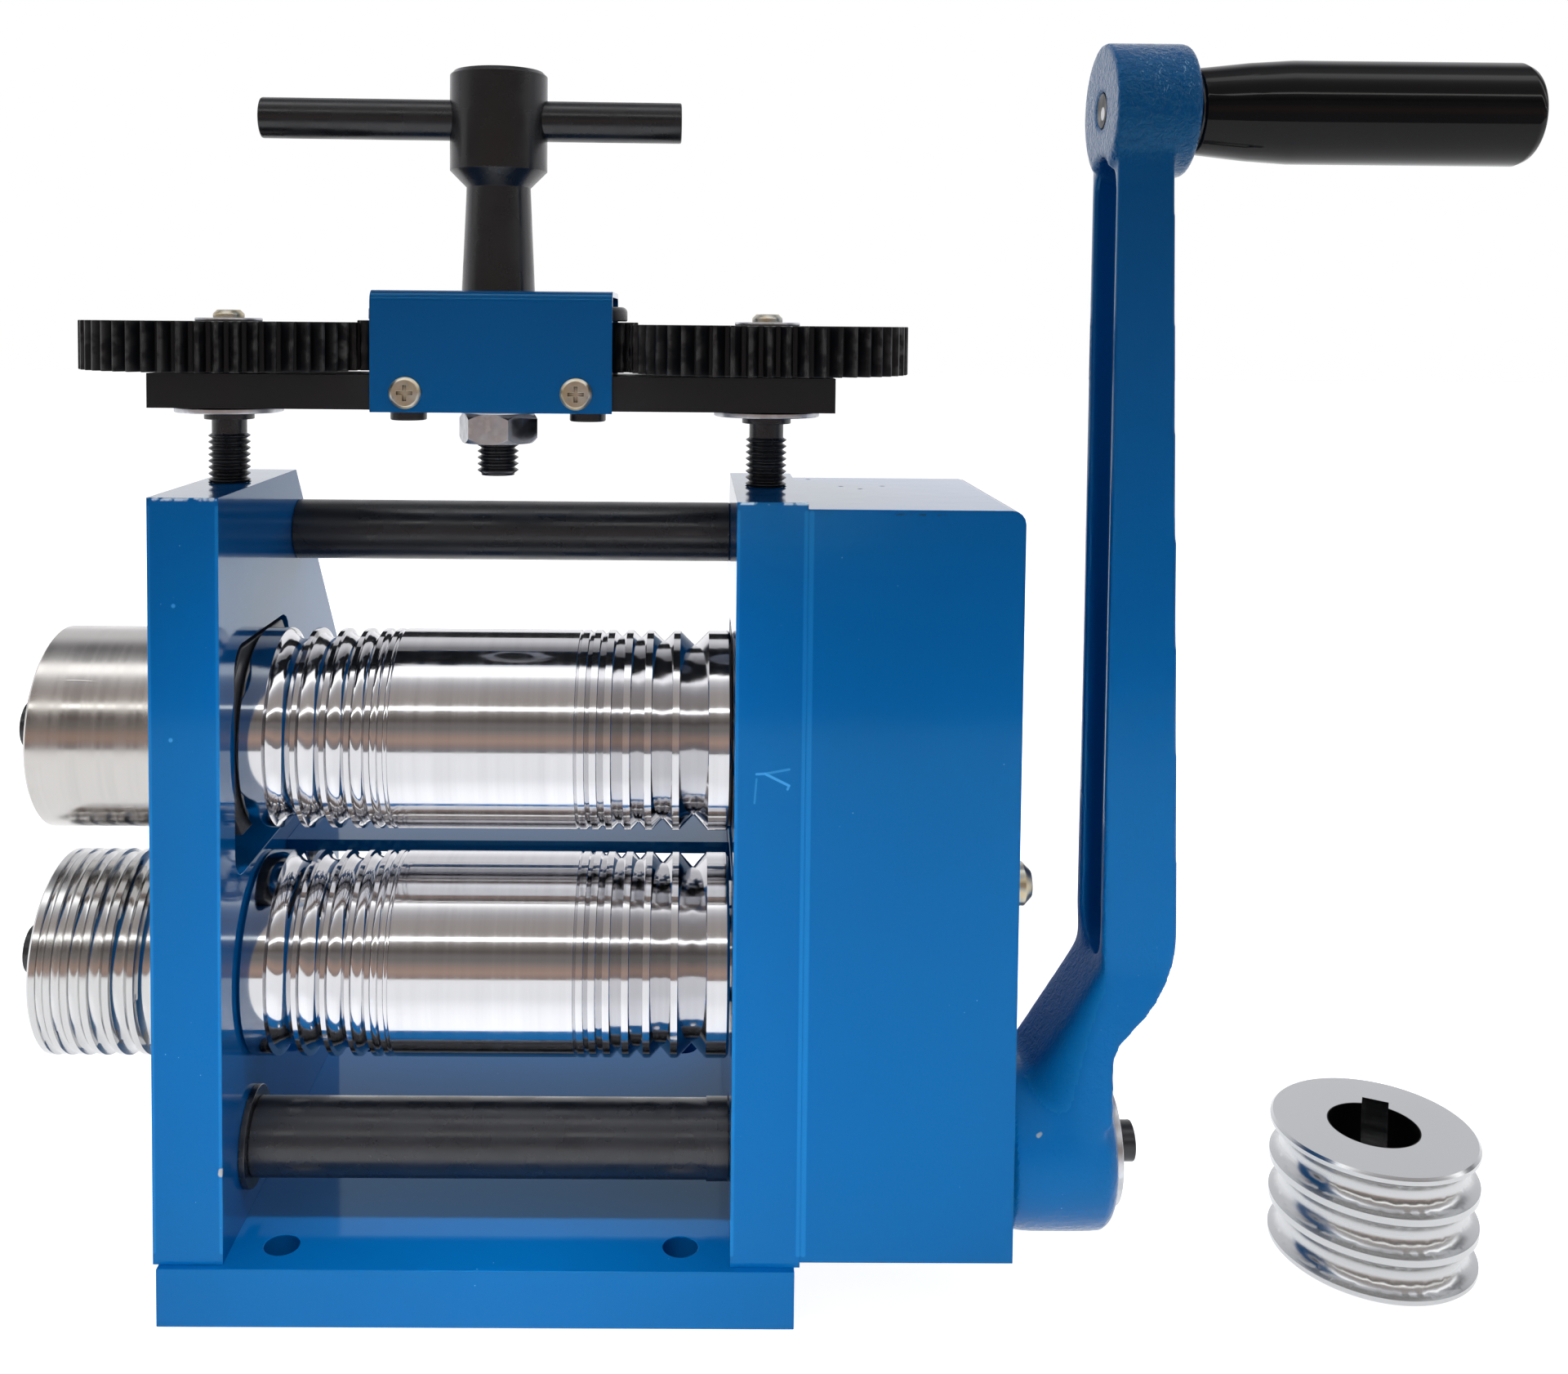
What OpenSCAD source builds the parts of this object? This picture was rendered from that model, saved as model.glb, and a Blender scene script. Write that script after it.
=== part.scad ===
// Jewellers' combination rolling mill: two driven rolls between side plates, set by a geared screw bridge.
// X runs across the mill, Y from front to back, Z up. The origin is the centre of its base plate's foot.

/* [Frame] */
// Clear width between the side plates
gap_w = 112; // [100:1:125]
// Thickness of a side plate
plate_t = 15.5; // [15:0.5:18]
// Depth of a side plate at its foot
plate_d = 110; // [106:1:130]
// Depth of a side plate along its top edge
plate_top_d = 64.6; // [62:0.2:70]
// Height of a side plate above the base plate
plate_h = 170.2; // [168:0.2:180]
// Height above the base plate where the back edge starts to slope
slope_foot_h = 116.3; // [100:0.1:130]
// How far the side plates' outer faces stand out past the base plate's ends
base_inset = 1.25; // [0.25:0.05:3]
// Thickness of the base plate
base_t = 13; // [11:0.5:16]
// How far the base plate stands out in front of and behind the side plates
base_lip = 1.6; // [0.4:0.1:6]
// Diameter of the four bench bolt holes
bench_hole_d = 8; // [6:0.5:9]
// Distance of the bench bolt holes from the side plates' inner faces
bench_hole_side = 11; // [9:0.5:20]
// Distance of the bench bolt holes from the base plate's front and back edges
bench_hole_edge = 9.1; // [7:0.1:20]
// Diameter of the tie rod
tie_rod_d = 15.3; // [12:0.1:16]
// Distance of the tie rod behind the side plates' front faces
tie_rod_back = 67.2; // [62:0.1:70]
// Distance of the tie rod below the side plates' top edges
tie_rod_drop = 15.7; // [14.5:0.1:18]

/* [Rolls] */
// Diameter of the rolls
roll_d = 46.8; // [45:0.1:47.4]
// Distance of the roll axes behind the side plates' front faces
roll_back = 33.8; // [33:0.1:36]
// Height of the lower roll's axis above the base plate
lower_roll_h = 56.75; // [55:0.05:60]
// Gap between the rolls with the mill fully open
open_gap = 7.95; // [7.9:0.05:9]
// Play between a roll's end and the side plate
roll_end_play = 0.3; // [0.2:0.05:0.5]
// Diameter of the journals
journal_d = 22; // [21:0.5:23]
// Diameter of the shaft ends that carry gears and extension rolls
stub_d = 20; // [18:0.5:20]
// Outer diameter of the roll bushes
bush_d = 28; // [27:0.5:30]
// Width and height of the keys on the roll shafts
key_w = 6; // [4:0.5:6]
// Widths of the half-round wire grooves, from the left end
round_w1 = 6.35; // [4:0.05:6.4]
round_w2 = 5.4; // [4:0.05:6]
round_w3 = 4.45; // [3:0.05:5]
round_w4 = 3.4; // [2.5:0.05:4]
round_w5 = 1.95; // [1.5:0.05:3]
round_w6 = 1.1; // [1:0.05:2]
// Land between half-round grooves
round_land = 1.1; // [0.6:0.1:1.4]
// Plain land at the left end
left_land = 5.7; // [4:0.1:7]
// Widths of the square wire grooves, from the right end
square_w1 = 6.7; // [4:0.1:7]
square_w2 = 4.8; // [3:0.1:5.5]
square_w3 = 3.3; // [2.5:0.1:4.5]
square_w4 = 2.8; // [2:0.1:3.4]
square_w5 = 1.7; // [1.4:0.1:2.6]
square_w6 = 1.2; // [1:0.1:2]
square_w7 = 0.75; // [0.7:0.05:1.5]
// Land between square grooves
square_land = 1.55; // [0.8:0.05:2]
// Plain land at the right end
right_land = 5.2; // [4:0.1:7]

/* [Extension rolls] */
// Length of an extension roll
ext_l = 31; // [29:0.5:36]
// Gap between an extension roll and the side plate
ext_gap = 1; // [0.6:0.1:2]
// Widths of the wire grooves on the lower extension roll, from the outer end
ext_w1 = 1.95; // [1.5:0.05:2.5]
ext_w2 = 2.5; // [2:0.05:3]
ext_w3 = 3; // [2.5:0.05:3.5]
ext_w4 = 3.55; // [3:0.05:3.8]
ext_w5 = 4.2; // [3.5:0.05:4.4]
ext_w6 = 5; // [4:0.05:5.2]
// Land between those grooves
ext_land = 1.4; // [0.8:0.1:1.6]
// Length of the spare roll
spare_l = 30; // [28:0.5:36]
// Width of each of its three grooves
spare_groove_w = 7.9; // [6:0.1:8.4]
// Distance of the spare roll to the right of the mill's centre
spare_x = 212; // [190:1:230]
// Distance of the spare roll behind the side plates' front faces
spare_back = 30; // [0:1:60]

/* [Bearing windows] */
// Width of the window in each side plate
window_w = 46; // [44:0.5:48]
// Height of the window's lower edge above the base plate
window_low = 82; // [81:0.1:82.4]
// Height of the window
window_h = 53; // [52.5:0.1:56]
// Corner radius of the window
window_r = 6; // [3:0.5:8]
// Height of a bearing block below the roll's axis
block_below = 20.9; // [18:0.1:21]
// Height of a bearing block above the roll's axis
block_above = 22.5; // [21:0.1:22.8]

/* [Screw bridge] */
// Length of the bridge bar
bar_l = 158; // [150:1:170]
// Depth of the bridge bar
bar_d = 24.6; // [24:0.1:28]
// Thickness of the bridge bar
bar_t = 8; // [6:0.1:9]
// Height of the bar above the side plates with the mill open
bar_lift = 18.1; // [17:0.1:22]
// Width of the small sheet cover over the idler gears
hood_w = 55.4; // [52:0.1:60]
// Height of the small sheet cover
hood_h = 28; // [27.8:0.1:32]
// Thickness of its sheet
hood_t = 1.3; // [0.8:0.1:1.6]
// Outer radius of its two bends
hood_bend_r = 2.6; // [1.8:0.1:4]
// How far it reaches below the bridge bar's underside
hood_drop = 0.5; // [0:0.1:1]
// Outer diameter of the pressure screw thread
thread_d = 9.7; // [9:0.1:10]
// Pitch of the pressure screw thread
thread_pitch = 1.5; // [1.5:0.25:1.5]
// Depth of the pressure screw thread
thread_depth = 0.9; // [0.6:0.1:1]
// Thickness of the setting gears
gear_t = 11.2; // [9:0.1:12]
// Gap between the bridge bar and the setting gears
gear_lift = 0.8; // [0.5:0.1:1.5]

/* [T handle] */
// Diameter of the T handle's head
head_d = 22.8; // [20:0.1:26]
// Height of the head's straight part
head_h = 23.1; // [20:0.1:26]
// Height of the cone below the head
head_cone_h = 3.9; // [2:0.1:5]
// Diameter of the stem below the head
stem_top_d = 15; // [13:0.1:17]
// Diameter of the stem at its foot
stem_foot_d = 17.8; // [16:0.1:19]
// Height of the stem above the centre gear
stem_h = 31.4; // [26:0.1:40]
// Diameter of the spindle below the centre gear
spindle_d = 9.7; // [9:0.1:10]
// Length of the tommy bar
tommy_l = 98.2; // [80:0.2:120]
// Diameter of the tommy bar
tommy_d = 9.5; // [8:0.1:11]
// How far the tommy bar's middle stands off the head's axis
tommy_shift = 6.1; // [0:0.1:12]
// Height of the tommy bar above the head's lower edge
tommy_h = 11.8; // [11:0.1:14]

/* [Drive] */
// Distance of the crank shaft behind the side plates' front faces
crank_back = 22.2; // [20:0.1:24]
// Module of the drive gears
drive_module = 1.5; // [1.5:0.01:1.52]
// Width of the roll gears
roll_gear_w = 18; // [14:0.5:19]
// Width of the drive gear on the lower roll
drive_gear_w = 14; // [10:0.5:14.5]
// Width of the pinion on the crank shaft
pinion_w = 16; // [12:0.5:16.5]
// Diameter of the crank shaft between the plates
shaft_d = 17.5; // [17:0.1:18.5]
// Diameter of the crank shaft's journals
shaft_journal_d = 16; // [15:0.5:16]
// Diameter of the crank shaft's outer end
shaft_end_d = 14; // [12:0.5:14]

/* [Gear cover] */
// Width of the gear cover
cover_w = 47.2; // [46:0.1:52]
// Depth of the gear cover
cover_d = 68; // [67:0.5:80]
// How far the gear cover's top stays below the side plates' top edges
cover_drop = 1.4; // [0.5:0.1:4]
// Gap between the base plate's top and the cover's lower edge
cover_foot = 1.2; // [0.5:0.1:1.8]
// Thickness of the cover's sheet
cover_t = 1.5; // [1:0.1:1.8]
// Outer radius of the bend along its upper right edge
cover_bend_r = 3; // [2:0.1:5]

/* [Crank] */
// Distance between the crank's two axes
crank_r = 240.8; // [200:1:260]
// Diameter of the crank's shaft hub
crank_hub_d = 38; // [36:0.5:44]
// Length of the crank's shaft hub
crank_hub_w = 24.5; // [20:0.25:26]
// Gap between the gear cover and the crank's hub
crank_gap = 0.8; // [0.6:0.1:3]
// Thickness of the arm at its top
arm_top_t = 12.3; // [10:0.1:14]
// Thickness of the arm at its bend
arm_low_t = 16.9; // [12:0.1:18]
// Depth of the arm from front to back at its top
arm_top_w = 22.5; // [20:0.5:26]
// Depth of the arm at its bend
arm_low_w = 24; // [22:0.5:28]
// How far the arm's inner face stands off the hub's inner face
arm_offset = 20.6; // [18:0.1:22]
// Diameter of the crank's handle hub
grip_hub_d = 30.2; // [28:0.2:34]
// Length of the crank's handle hub
grip_hub_w = 19; // [16:0.1:24]
// Depth of the pocket in the arm
pocket_depth = 6; // [3:0.5:7]
// Wall left on each side of the pocket
pocket_wall = 2.6; // [2:0.1:4]

/* [Grip] */
// Length of the grip
grip_l = 76.6; // [60:1:90]
// Largest diameter of the grip
grip_d = 23.4; // [20:0.2:28]
// Diameter of the grip beside the crank
grip_neck_d = 19.4; // [16:0.2:22]
// Gap between the crank and the grip
grip_gap = 2; // [1:0.1:3]
// Diameter of the grip's spindle
grip_pin_d = 9; // [7:0.5:10]

/* [Fits] */
// Radial clearance of shafts that turn in their bushes and of pieces that turn on pins
run_gap = 0.05; // [0.03:0.01:0.08]
// Radial clearance of round pieces that are pressed, keyed or screwed in place
seat_gap = 0.03; // [0.02:0.01:0.05]
// Play between moving pieces that face each other
side_gap = 0.2; // [0.15:0.05:0.3]
// How far a cutting shape runs past the face that it cuts
over = 0.5; // [0.3:0.1:1]

/* [Hidden] */
$fn = 72;

// Tooth counts
center_teeth = 17;
idler_teeth = 17;
outer_teeth = 51;
pinion_teeth = 16;
drive_teeth = 39;
roll_gear_teeth = 10;
flank_steps = 4;
pressure_angle = 20;
roll_pressure_angle = 23.5;
screw_turns = 5.25;

// Places in the frame
front_y = -plate_d / 2;
base_d = plate_d + 2 * base_lip;
plate_x = gap_w / 2;
plate_out_x = plate_x + plate_t;
base_w = 2 * (plate_out_x - base_inset);
plate_top_z = base_t + plate_h;
roll_y = front_y + roll_back;
lower_z = base_t + lower_roll_h;
upper_z = lower_z + roll_d + open_gap;
travel = screw_turns * thread_pitch;
tie_y = front_y + tie_rod_back;
tie_z = plate_top_z - tie_rod_drop;
bench_hole_dx = gap_w - 2 * bench_hole_side;
bench_hole_dy = base_d - 2 * bench_hole_edge;
roll_half = plate_x - roll_end_play;
screw_x = plate_x + plate_t / 2;

// Window, bearing block and the hook between block and screw
window_z = base_t + window_low;
block_play = 0.1;
block_h = block_below + block_above;
block_top_z = upper_z + block_above;
hook_neck_d = 6;
hook_neck_h = 2.8;
hook_button_d = 8.6;
hook_button_h = 2.6;

// Heights in the bridge, measured at rest
bar_z = plate_top_z + bar_lift;
bar_top_z = bar_z + bar_t;
gear_z = bar_top_z + gear_lift;
gear_top_z = gear_z + gear_t;
bar_front = roll_y - bar_d / 2;

// Gears that set the screws: the whole train spans from the centre to a pressure screw
setting_module = 2 * screw_x / (center_teeth + 2 * idler_teeth + outer_teeth);
idler_x = setting_module * (center_teeth + idler_teeth) / 2;
setting_backlash = 0.12;
idler_t = gear_t + 0.4 * setting_module;

// Pressure screws
screw_shank_d = 10;
screw_boss_d = 11.6;
screw_boss_h = 1.7;
screw_neck_d = 8.1;
screw_neck_h = 3.4;
under_washer_d = 25;
under_washer_t = 1.4;
thin_washer_d = 18;
cap_washer_d = 15.4;
cap_washer_t = 0.8;
cap_screw_head_d = 7.2;
cap_screw_head_h = 1.9;
cap_screw_d = 4;
cap_screw_l = 12;
gear_key_w = 3;

// Idler studs and their screws
stud_d = 8;
stud_foot_d = 12;
stud_head_d = 18.6;
stud_head_h = 3.4;
stud_head_round = 0.8;
idler_screw_d = 5;
idler_screw_l = 14;
idler_screw_head_d = 8.6;
idler_screw_head_h = 3;
hex_socket_share = 0.5;
recess_share = [0.5, 0.12, 0.4];

// Small cover and its screws
hood_screw_d = 4;
hood_screw_l = 9;
hood_screw_head_d = 7.4;
hood_screw_head_h = 1.4;
hood_screw_dx = 39;
hood_hole_gap = 1.2;

// Spindle nut, washer and thread end
nut_af = 16.6;
nut_h = 7;
nut_turn = -9;
nut_washer_d = 18;
nut_washer_t = 1.2;
spindle_end = 15.9;
head_round = 1;
tommy_turn = 2;

// Lengths along the roll shafts, outwards from the right side plate
gear_space = 3.5;
roll_gear_stand = 2;
roll_gear_x = plate_out_x + roll_gear_stand;
roll_gear_end = roll_gear_x + roll_gear_w;
drive_gear_x = roll_gear_end + gear_space;
drive_gear_end = drive_gear_x + drive_gear_w;
collar_t = 2;
collar_d = 32;
ext_x = -plate_out_x - ext_gap;
ext_end = ext_x - ext_l;
roll_washer_d = 26;
roll_washer_t = 1.5;
roll_bolt_d = 8;
roll_bolt_l = 22;
roll_bolt_head_d = 11;
roll_bolt_head_h = 7;
inner_bolt_head_h = 5;

// Roll gears with long teeth that stay engaged from the closed to the open gap
closed_cd = roll_d + open_gap - travel;
roll_gear_reach = 1.125;
roll_gear_tip = (roll_d + open_gap) / 2 + roll_gear_reach;
roll_gear_clear = 0.475;
roll_gear_root = closed_cd - roll_gear_tip - roll_gear_clear;
roll_gear_backlash = 0.3;

// Crank shaft
drive_cd = drive_module * (pinion_teeth + drive_teeth) / 2;
crank_y = front_y + crank_back;
crank_z = lower_z - sqrt(drive_cd * drive_cd - (roll_y - crank_y) * (roll_y - crank_y));
drive_angle = atan2(lower_z - crank_z, roll_y - crank_y);
drive_backlash = 0.15;
crank_bush_d = 20;
crank_flange_d = 22.4;
crank_flange_t = 1.5;
shaft_collar_d = 18.1;
shaft_collar_w = 5;
pinion_x = drive_gear_x - (pinion_w - drive_gear_w) / 2;
pinion_end = pinion_x + pinion_w;
crank_key_w = 4;

// Gear cover, its posts and its screws
cover_x = plate_out_x;
cover_out_x = cover_x + cover_w;
cover_z = base_t + cover_foot;
cover_h = plate_h - cover_foot - cover_drop;
cover_hole_gap = 1;
post_d = 8;
post_inset = 6;
post_h = 84.7;
post_hole_d = 4.2;
cover_screw_d = 4;
cover_screw_l = 9;
cover_screw_head_d = 9.6;
cover_screw_head_h = 3.6;

// Crank arm
hub_in_x = cover_out_x + crank_gap;
hub_out_x = hub_in_x + crank_hub_w;
sleeve_d = 20;
arm_in_x = hub_in_x + arm_offset;
grip_z = crank_z + crank_r;
bend_h = 54.8;
inner_bend_h = 45;
arm_inner_share = [[0.13, 0], [0.13, 0.3], [0.34, 0.45], [1, 1]];
arm_outer_share = [[1, 1], [0.998, 0.95], [0.985, 0.87], [0.952, 0.8], [0.9, 0.73], [0.833, 0.666],
    [0.74, 0.6], [0.655, 0.54], [0.618, 0.49], [0.606, 0.43], [0.604, 0.24], [0.52, 0.15], [0.52, 0]];
arm_edge_share = 0.42;
arm_edge_turns = [22.5, 45, 67.5];
hub_round_in = 2.7;
hub_round_out = 4.5;
grip_hub_round_in = 0.6;
grip_hub_round_out = 1.6;
corner_steps = 4;
grip_hub_in = 1.3;
pocket_top = 10.6;
pocket_foot_h = 45.6;
crank_washer_d = 27.6;
crank_washer_t = 1.6;
crank_bolt_d = 6;
crank_bolt_l = 20;
crank_bolt_head_d = 9;
crank_bolt_head_h = 5.45;

// Grip and its spindle
grip_x = arm_in_x - grip_hub_in + grip_hub_w + grip_gap;
grip_end_round = 3;
grip_swell = 20;
grip_bore_l = 58;
grip_pin_head_d = 14;
grip_pin_head_h = 5;
grip_pin_thread_d = 8;

// Screws of the frame
tie_screw_d = 8;
tie_screw_l = 34;
tie_screw_head_d = 13;
tie_screw_head_h = 7;
tie_screw_sunk = 7.5;
base_screw_d = 6;
base_screw_l = 28;
base_screw_head_d = 12;
base_screw_head_h = 3.4;
base_screw_inset = 7;
base_screw_count = 3;

// Feed table behind the rolls
table_t = 3;
table_z = 90;
table_back = 53.7;
table_depth = 36;
table_tab_h = 13;
table_screw_d = 4;
table_screw_l = 10;
table_screw_head_d = 7;
table_screw_head_h = 2.2;
table_tab_back = 8;
table_screw_inset = 6;

// Grooves as width lists
round_widths = [round_w1, round_w2, round_w3, round_w4, round_w5, round_w6];
square_widths = [square_w1, square_w2, square_w3, square_w4, square_w5, square_w6, square_w7];
ext_widths = [ext_w1, ext_w2, ext_w3, ext_w4, ext_w5, ext_w6];
groove_depth_share = 0.44;
groove_arc_steps = 6;
edge_break = 0.6;
spare_key_gap = 0.4;
spare_key_turn = -26;

// Colours
paint = [0.02, 0.30, 0.62];
steel = [0.78, 0.79, 0.81];
black = [0.09, 0.09, 0.10];
zinc = [0.80, 0.77, 0.66];
bronze = [0.62, 0.47, 0.25];

// Puts a shape drawn in the XY plane on an axis along X, at a place in the YZ plane
module on_x(x, y, z) {
    translate([x, y, z]) rotate([90, 0, 90]) children();
}

// Quarter arc in an outline, from an angle on for a quarter turn either way
function corner(x, y, r, from, way) =
    [for (k = [0:corner_steps]) let (a = from + way * 90 * k / corner_steps)
        [x + r * cos(a), y + r * sin(a)]];

// Round bar along X from one X to another
module bar_x(x0, x1, y, z, d) {
    on_x(min(x0, x1), y, z) cylinder(d = d, h = abs(x1 - x0));
}

// Upright round bar from one height to another
module post(x, y, z0, z1, d) {
    translate([x, y, min(z0, z1)]) cylinder(d = d, h = abs(z1 - z0));
}

// Involute angle at a radius, in degrees
function inv_deg(base_r, r) = let (a = acos(min(1, base_r / r))) tan(a) * 180 / PI - a;

// Half the angle that a tooth takes at a radius
function tooth_half(pitch_r, base_r, tooth_w, r) =
    tooth_w / pitch_r * 90 / PI + inv_deg(base_r, pitch_r) - inv_deg(base_r, max(r, base_r));

// Outline of a spur gear with one tooth centred on the X axis
function gear_outline(teeth, pitch_r, base_r, root_r, tip_r, tooth_w) =
    let (start_r = max(root_r, base_r),
         radii = concat(root_r < base_r ? [root_r] : [],
                        [for (k = [0:flank_steps]) start_r + (tip_r - start_r) * k / flank_steps]),
         last = len(radii) - 1)
    [for (i = [0:teeth - 1]) each concat(
        [for (k = [0:last]) let (a = i * 360 / teeth - tooth_half(pitch_r, base_r, tooth_w, radii[k]))
            [radii[k] * cos(a), radii[k] * sin(a)]],
        [for (k = [last:-1:0]) let (a = i * 360 / teeth + tooth_half(pitch_r, base_r, tooth_w, radii[k]))
            [radii[k] * cos(a), radii[k] * sin(a)]])];

// Spur gear of standard proportions, standing on the XY plane
module spur_gear(gear_module, teeth, backlash, thickness) {
    pitch_r = gear_module * teeth / 2;
    linear_extrude(thickness)
        polygon(gear_outline(teeth, pitch_r, pitch_r * cos(pressure_angle), pitch_r - 1.25 * gear_module,
            pitch_r + gear_module, gear_module * PI / 2 - backlash));
}

// Roll gear with long teeth
module long_tooth_gear() {
    pitch_r = closed_cd / 2;
    linear_extrude(roll_gear_w)
        polygon(gear_outline(roll_gear_teeth, pitch_r, pitch_r * cos(roll_pressure_angle), roll_gear_root,
            roll_gear_tip, pitch_r * PI / roll_gear_teeth - roll_gear_backlash));
}

// Bore with a keyway at the top, as a cutting shape for a piece of a given length
module keyed_bore(d, w, l) {
    translate([0, 0, -over]) cylinder(d = d + 2 * seat_gap, h = l + 2 * over);
    translate([-w / 2 - seat_gap, 0, -over]) cube([w + 2 * seat_gap, d / 2 + w / 2, l + 2 * over]);
}

// Keyseat in a shaft along X, as a cutting shape
module keyseat_x(x0, x1, y, z, d, w) {
    translate([min(x0, x1), y - w / 2 - seat_gap, z + d / 2 - w / 2])
        cube([abs(x1 - x0), w + 2 * seat_gap, w]);
}

// Key lying in such a keyseat
module key_x(x0, x1, y, z, d, w) {
    translate([min(x0, x1), y - w / 2, z + d / 2 - w / 2])
        cube([abs(x1 - x0), w, w - seat_gap]);
}

// Screw with a round head and a cross recess, along +Z, head below the XY plane and shank above it
module round_head_screw(d, l, head_d, head_h) {
    difference() {
        union() {
            cylinder(d = d, h = l);
            translate([0, 0, -head_h]) cylinder(d1 = head_d - head_h, d2 = head_d, h = head_h / 2);
            translate([0, 0, -head_h / 2]) cylinder(d = head_d, h = head_h / 2);
        }
        translate([0, 0, -head_h]) for (turn = [0, 90]) rotate(turn)
            translate([-head_d * recess_share[0] / 2, -head_d * recess_share[1] / 2, -over])
                cube([head_d * recess_share[0], head_d * recess_share[1], over + head_h * recess_share[2]]);
    }
}

// Socket in the middle of a screw's head
module socket(head_d) {
    translate([0, 0, -over]) cylinder(d = head_d * hex_socket_share, h = over + head_d / 8, $fn = 6);
}

// Socket head cap screw along +Z, head below the XY plane
module cap_head_screw(d, l, head_d, head_h) {
    difference() {
        union() {
            cylinder(d = d, h = l);
            translate([0, 0, -head_h]) cylinder(d = head_d, h = head_h);
        }
        translate([0, 0, -head_h - over])
            cylinder(d = head_d * hex_socket_share, h = over + head_h / 2, $fn = 6);
    }
}

// Countersunk screw along +Z, its flat head's top on the XY plane
module flat_head_screw(d, l, head_d, head_h) {
    difference() {
        union() {
            cylinder(d1 = head_d, d2 = d, h = head_h);
            cylinder(d = d, h = l);
        }
        socket(head_d);
    }
}

// Flat ring standing on the XY plane
module ring(outer_d, inner_d, h) {
    difference() {
        cylinder(d = outer_d, h = h);
        translate([0, 0, -over]) cylinder(d = inner_d, h = h + 2 * over);
    }
}

// Base plate with bench bolt holes and countersunk holes for the side plates' screws
module base_plate() {
    color(paint) difference() {
        translate([-base_w / 2, -base_d / 2, 0]) cube([base_w, base_d, base_t]);
        for (x = [-1, 1], y = [-1, 1])
            translate([x * bench_hole_dx / 2, y * bench_hole_dy / 2, -over])
                cylinder(d = bench_hole_d, h = base_t + 2 * over);
        base_screw_places() {
            translate([0, 0, -over]) cylinder(d = base_screw_d + 2 * seat_gap, h = base_t + 2 * over);
            cylinder(d1 = base_screw_head_d + 2 * seat_gap, d2 = base_screw_d + 2 * seat_gap,
                h = base_screw_head_h);
        }
    }
}

// The places of the screws that come up through the base plate
module base_screw_places() {
    step = (plate_d - 2 * base_screw_inset) / (base_screw_count - 1);
    for (side = [-1, 1], i = [0:base_screw_count - 1])
        translate([side * (plate_x + plate_t / 3), front_y + base_screw_inset + i * step, 0]) children();
}

module base_screws() {
    color(zinc) base_screw_places()
        flat_head_screw(base_screw_d, base_screw_l, base_screw_head_d, base_screw_head_h);
}

// Side plate profile in the YZ plane, with its sloping back
module plate_profile() {
    polygon([[front_y, base_t], [front_y + plate_d, base_t], [front_y + plate_d, base_t + slope_foot_h],
        [front_y + plate_top_d, plate_top_z], [front_y, plate_top_z]]);
}

// Window with round corners, as points from arcs
module window_profile() {
    arc_steps = 5;
    w = window_w / 2 - window_r;
    h = window_h / 2 - window_r;
    corners = [[w, h, 0], [-w, h, 90], [-w, -h, 180], [w, -h, 270]];
    translate([roll_y, window_z + window_h / 2])
        polygon([for (c = corners, k = [0:arc_steps]) let (a = c[2] + 90 * k / arc_steps)
            [c[0] + window_r * cos(a), c[1] + window_r * sin(a)]]);
}

// Side plate standing on the base, its inner face at +X of the mirror plane for the right one
module side_plate() {
    difference() {
        on_x(plate_x, 0, 0) linear_extrude(plate_t) plate_profile();
        on_x(plate_x - over, 0, 0) linear_extrude(plate_t + 2 * over) window_profile();
        bar_x(plate_x - over, plate_out_x + over, roll_y, lower_z, bush_d + 2 * seat_gap);
        bar_x(plate_x - over, plate_out_x + over, crank_y, crank_z, crank_bush_d + 2 * seat_gap);
        bar_x(plate_x - over, plate_out_x + over, tie_y, tie_z, tie_screw_d + 2 * seat_gap);
        bar_x(plate_out_x - tie_screw_sunk, plate_out_x + over, tie_y, tie_z,
            tie_screw_head_d + 2 * side_gap);
        post(screw_x, roll_y, window_z + window_h - over, plate_top_z + over, thread_d + 2 * run_gap);
        base_screw_places()
            translate([0, 0, base_t - over]) cylinder(d = base_screw_d + 2 * seat_gap,
                h = over + base_screw_l - base_t + over);
        table_screw_places() bar_x(-over, table_screw_l + over, 0, 0, table_screw_d + 2 * seat_gap);
    }
}

module left_side_plate() {
    color(paint) mirror([1, 0, 0]) side_plate();
}

// The right side plate also takes the posts' screws of the gear cover
module right_side_plate() {
    color(paint) difference() {
        side_plate();
        post_places() bar_x(-plate_t / 2, over, 0, 0, cover_screw_d + 2 * seat_gap);
    }
}

module tie_rod() {
    color(black) difference() {
        bar_x(-plate_x, plate_x, tie_y, tie_z, tie_rod_d);
        for (side = [-1, 1])
            bar_x(side * (plate_x + over), side * (plate_out_x - tie_screw_sunk - tie_screw_l - over),
                tie_y, tie_z, tie_screw_d + 2 * seat_gap);
    }
}

module tie_rod_screws() {
    color(black) for (side = [0, 1]) mirror([side, 0, 0])
        on_x(plate_out_x - tie_screw_sunk, tie_y, tie_z) mirror([0, 0, 1])
            cap_head_screw(tie_screw_d, tie_screw_l, tie_screw_head_d, tie_screw_head_h);
}

// The places on the right side plate's inner face of the feed table's screws
module table_screw_places() {
    for (s = [0, 1])
        translate([plate_x, front_y + table_back + table_tab_back + table_screw_inset
            + s * (table_depth - table_tab_back - 2 * table_screw_inset),
            table_z - table_t - (table_tab_h - table_t) / 2]) children();
}

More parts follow.
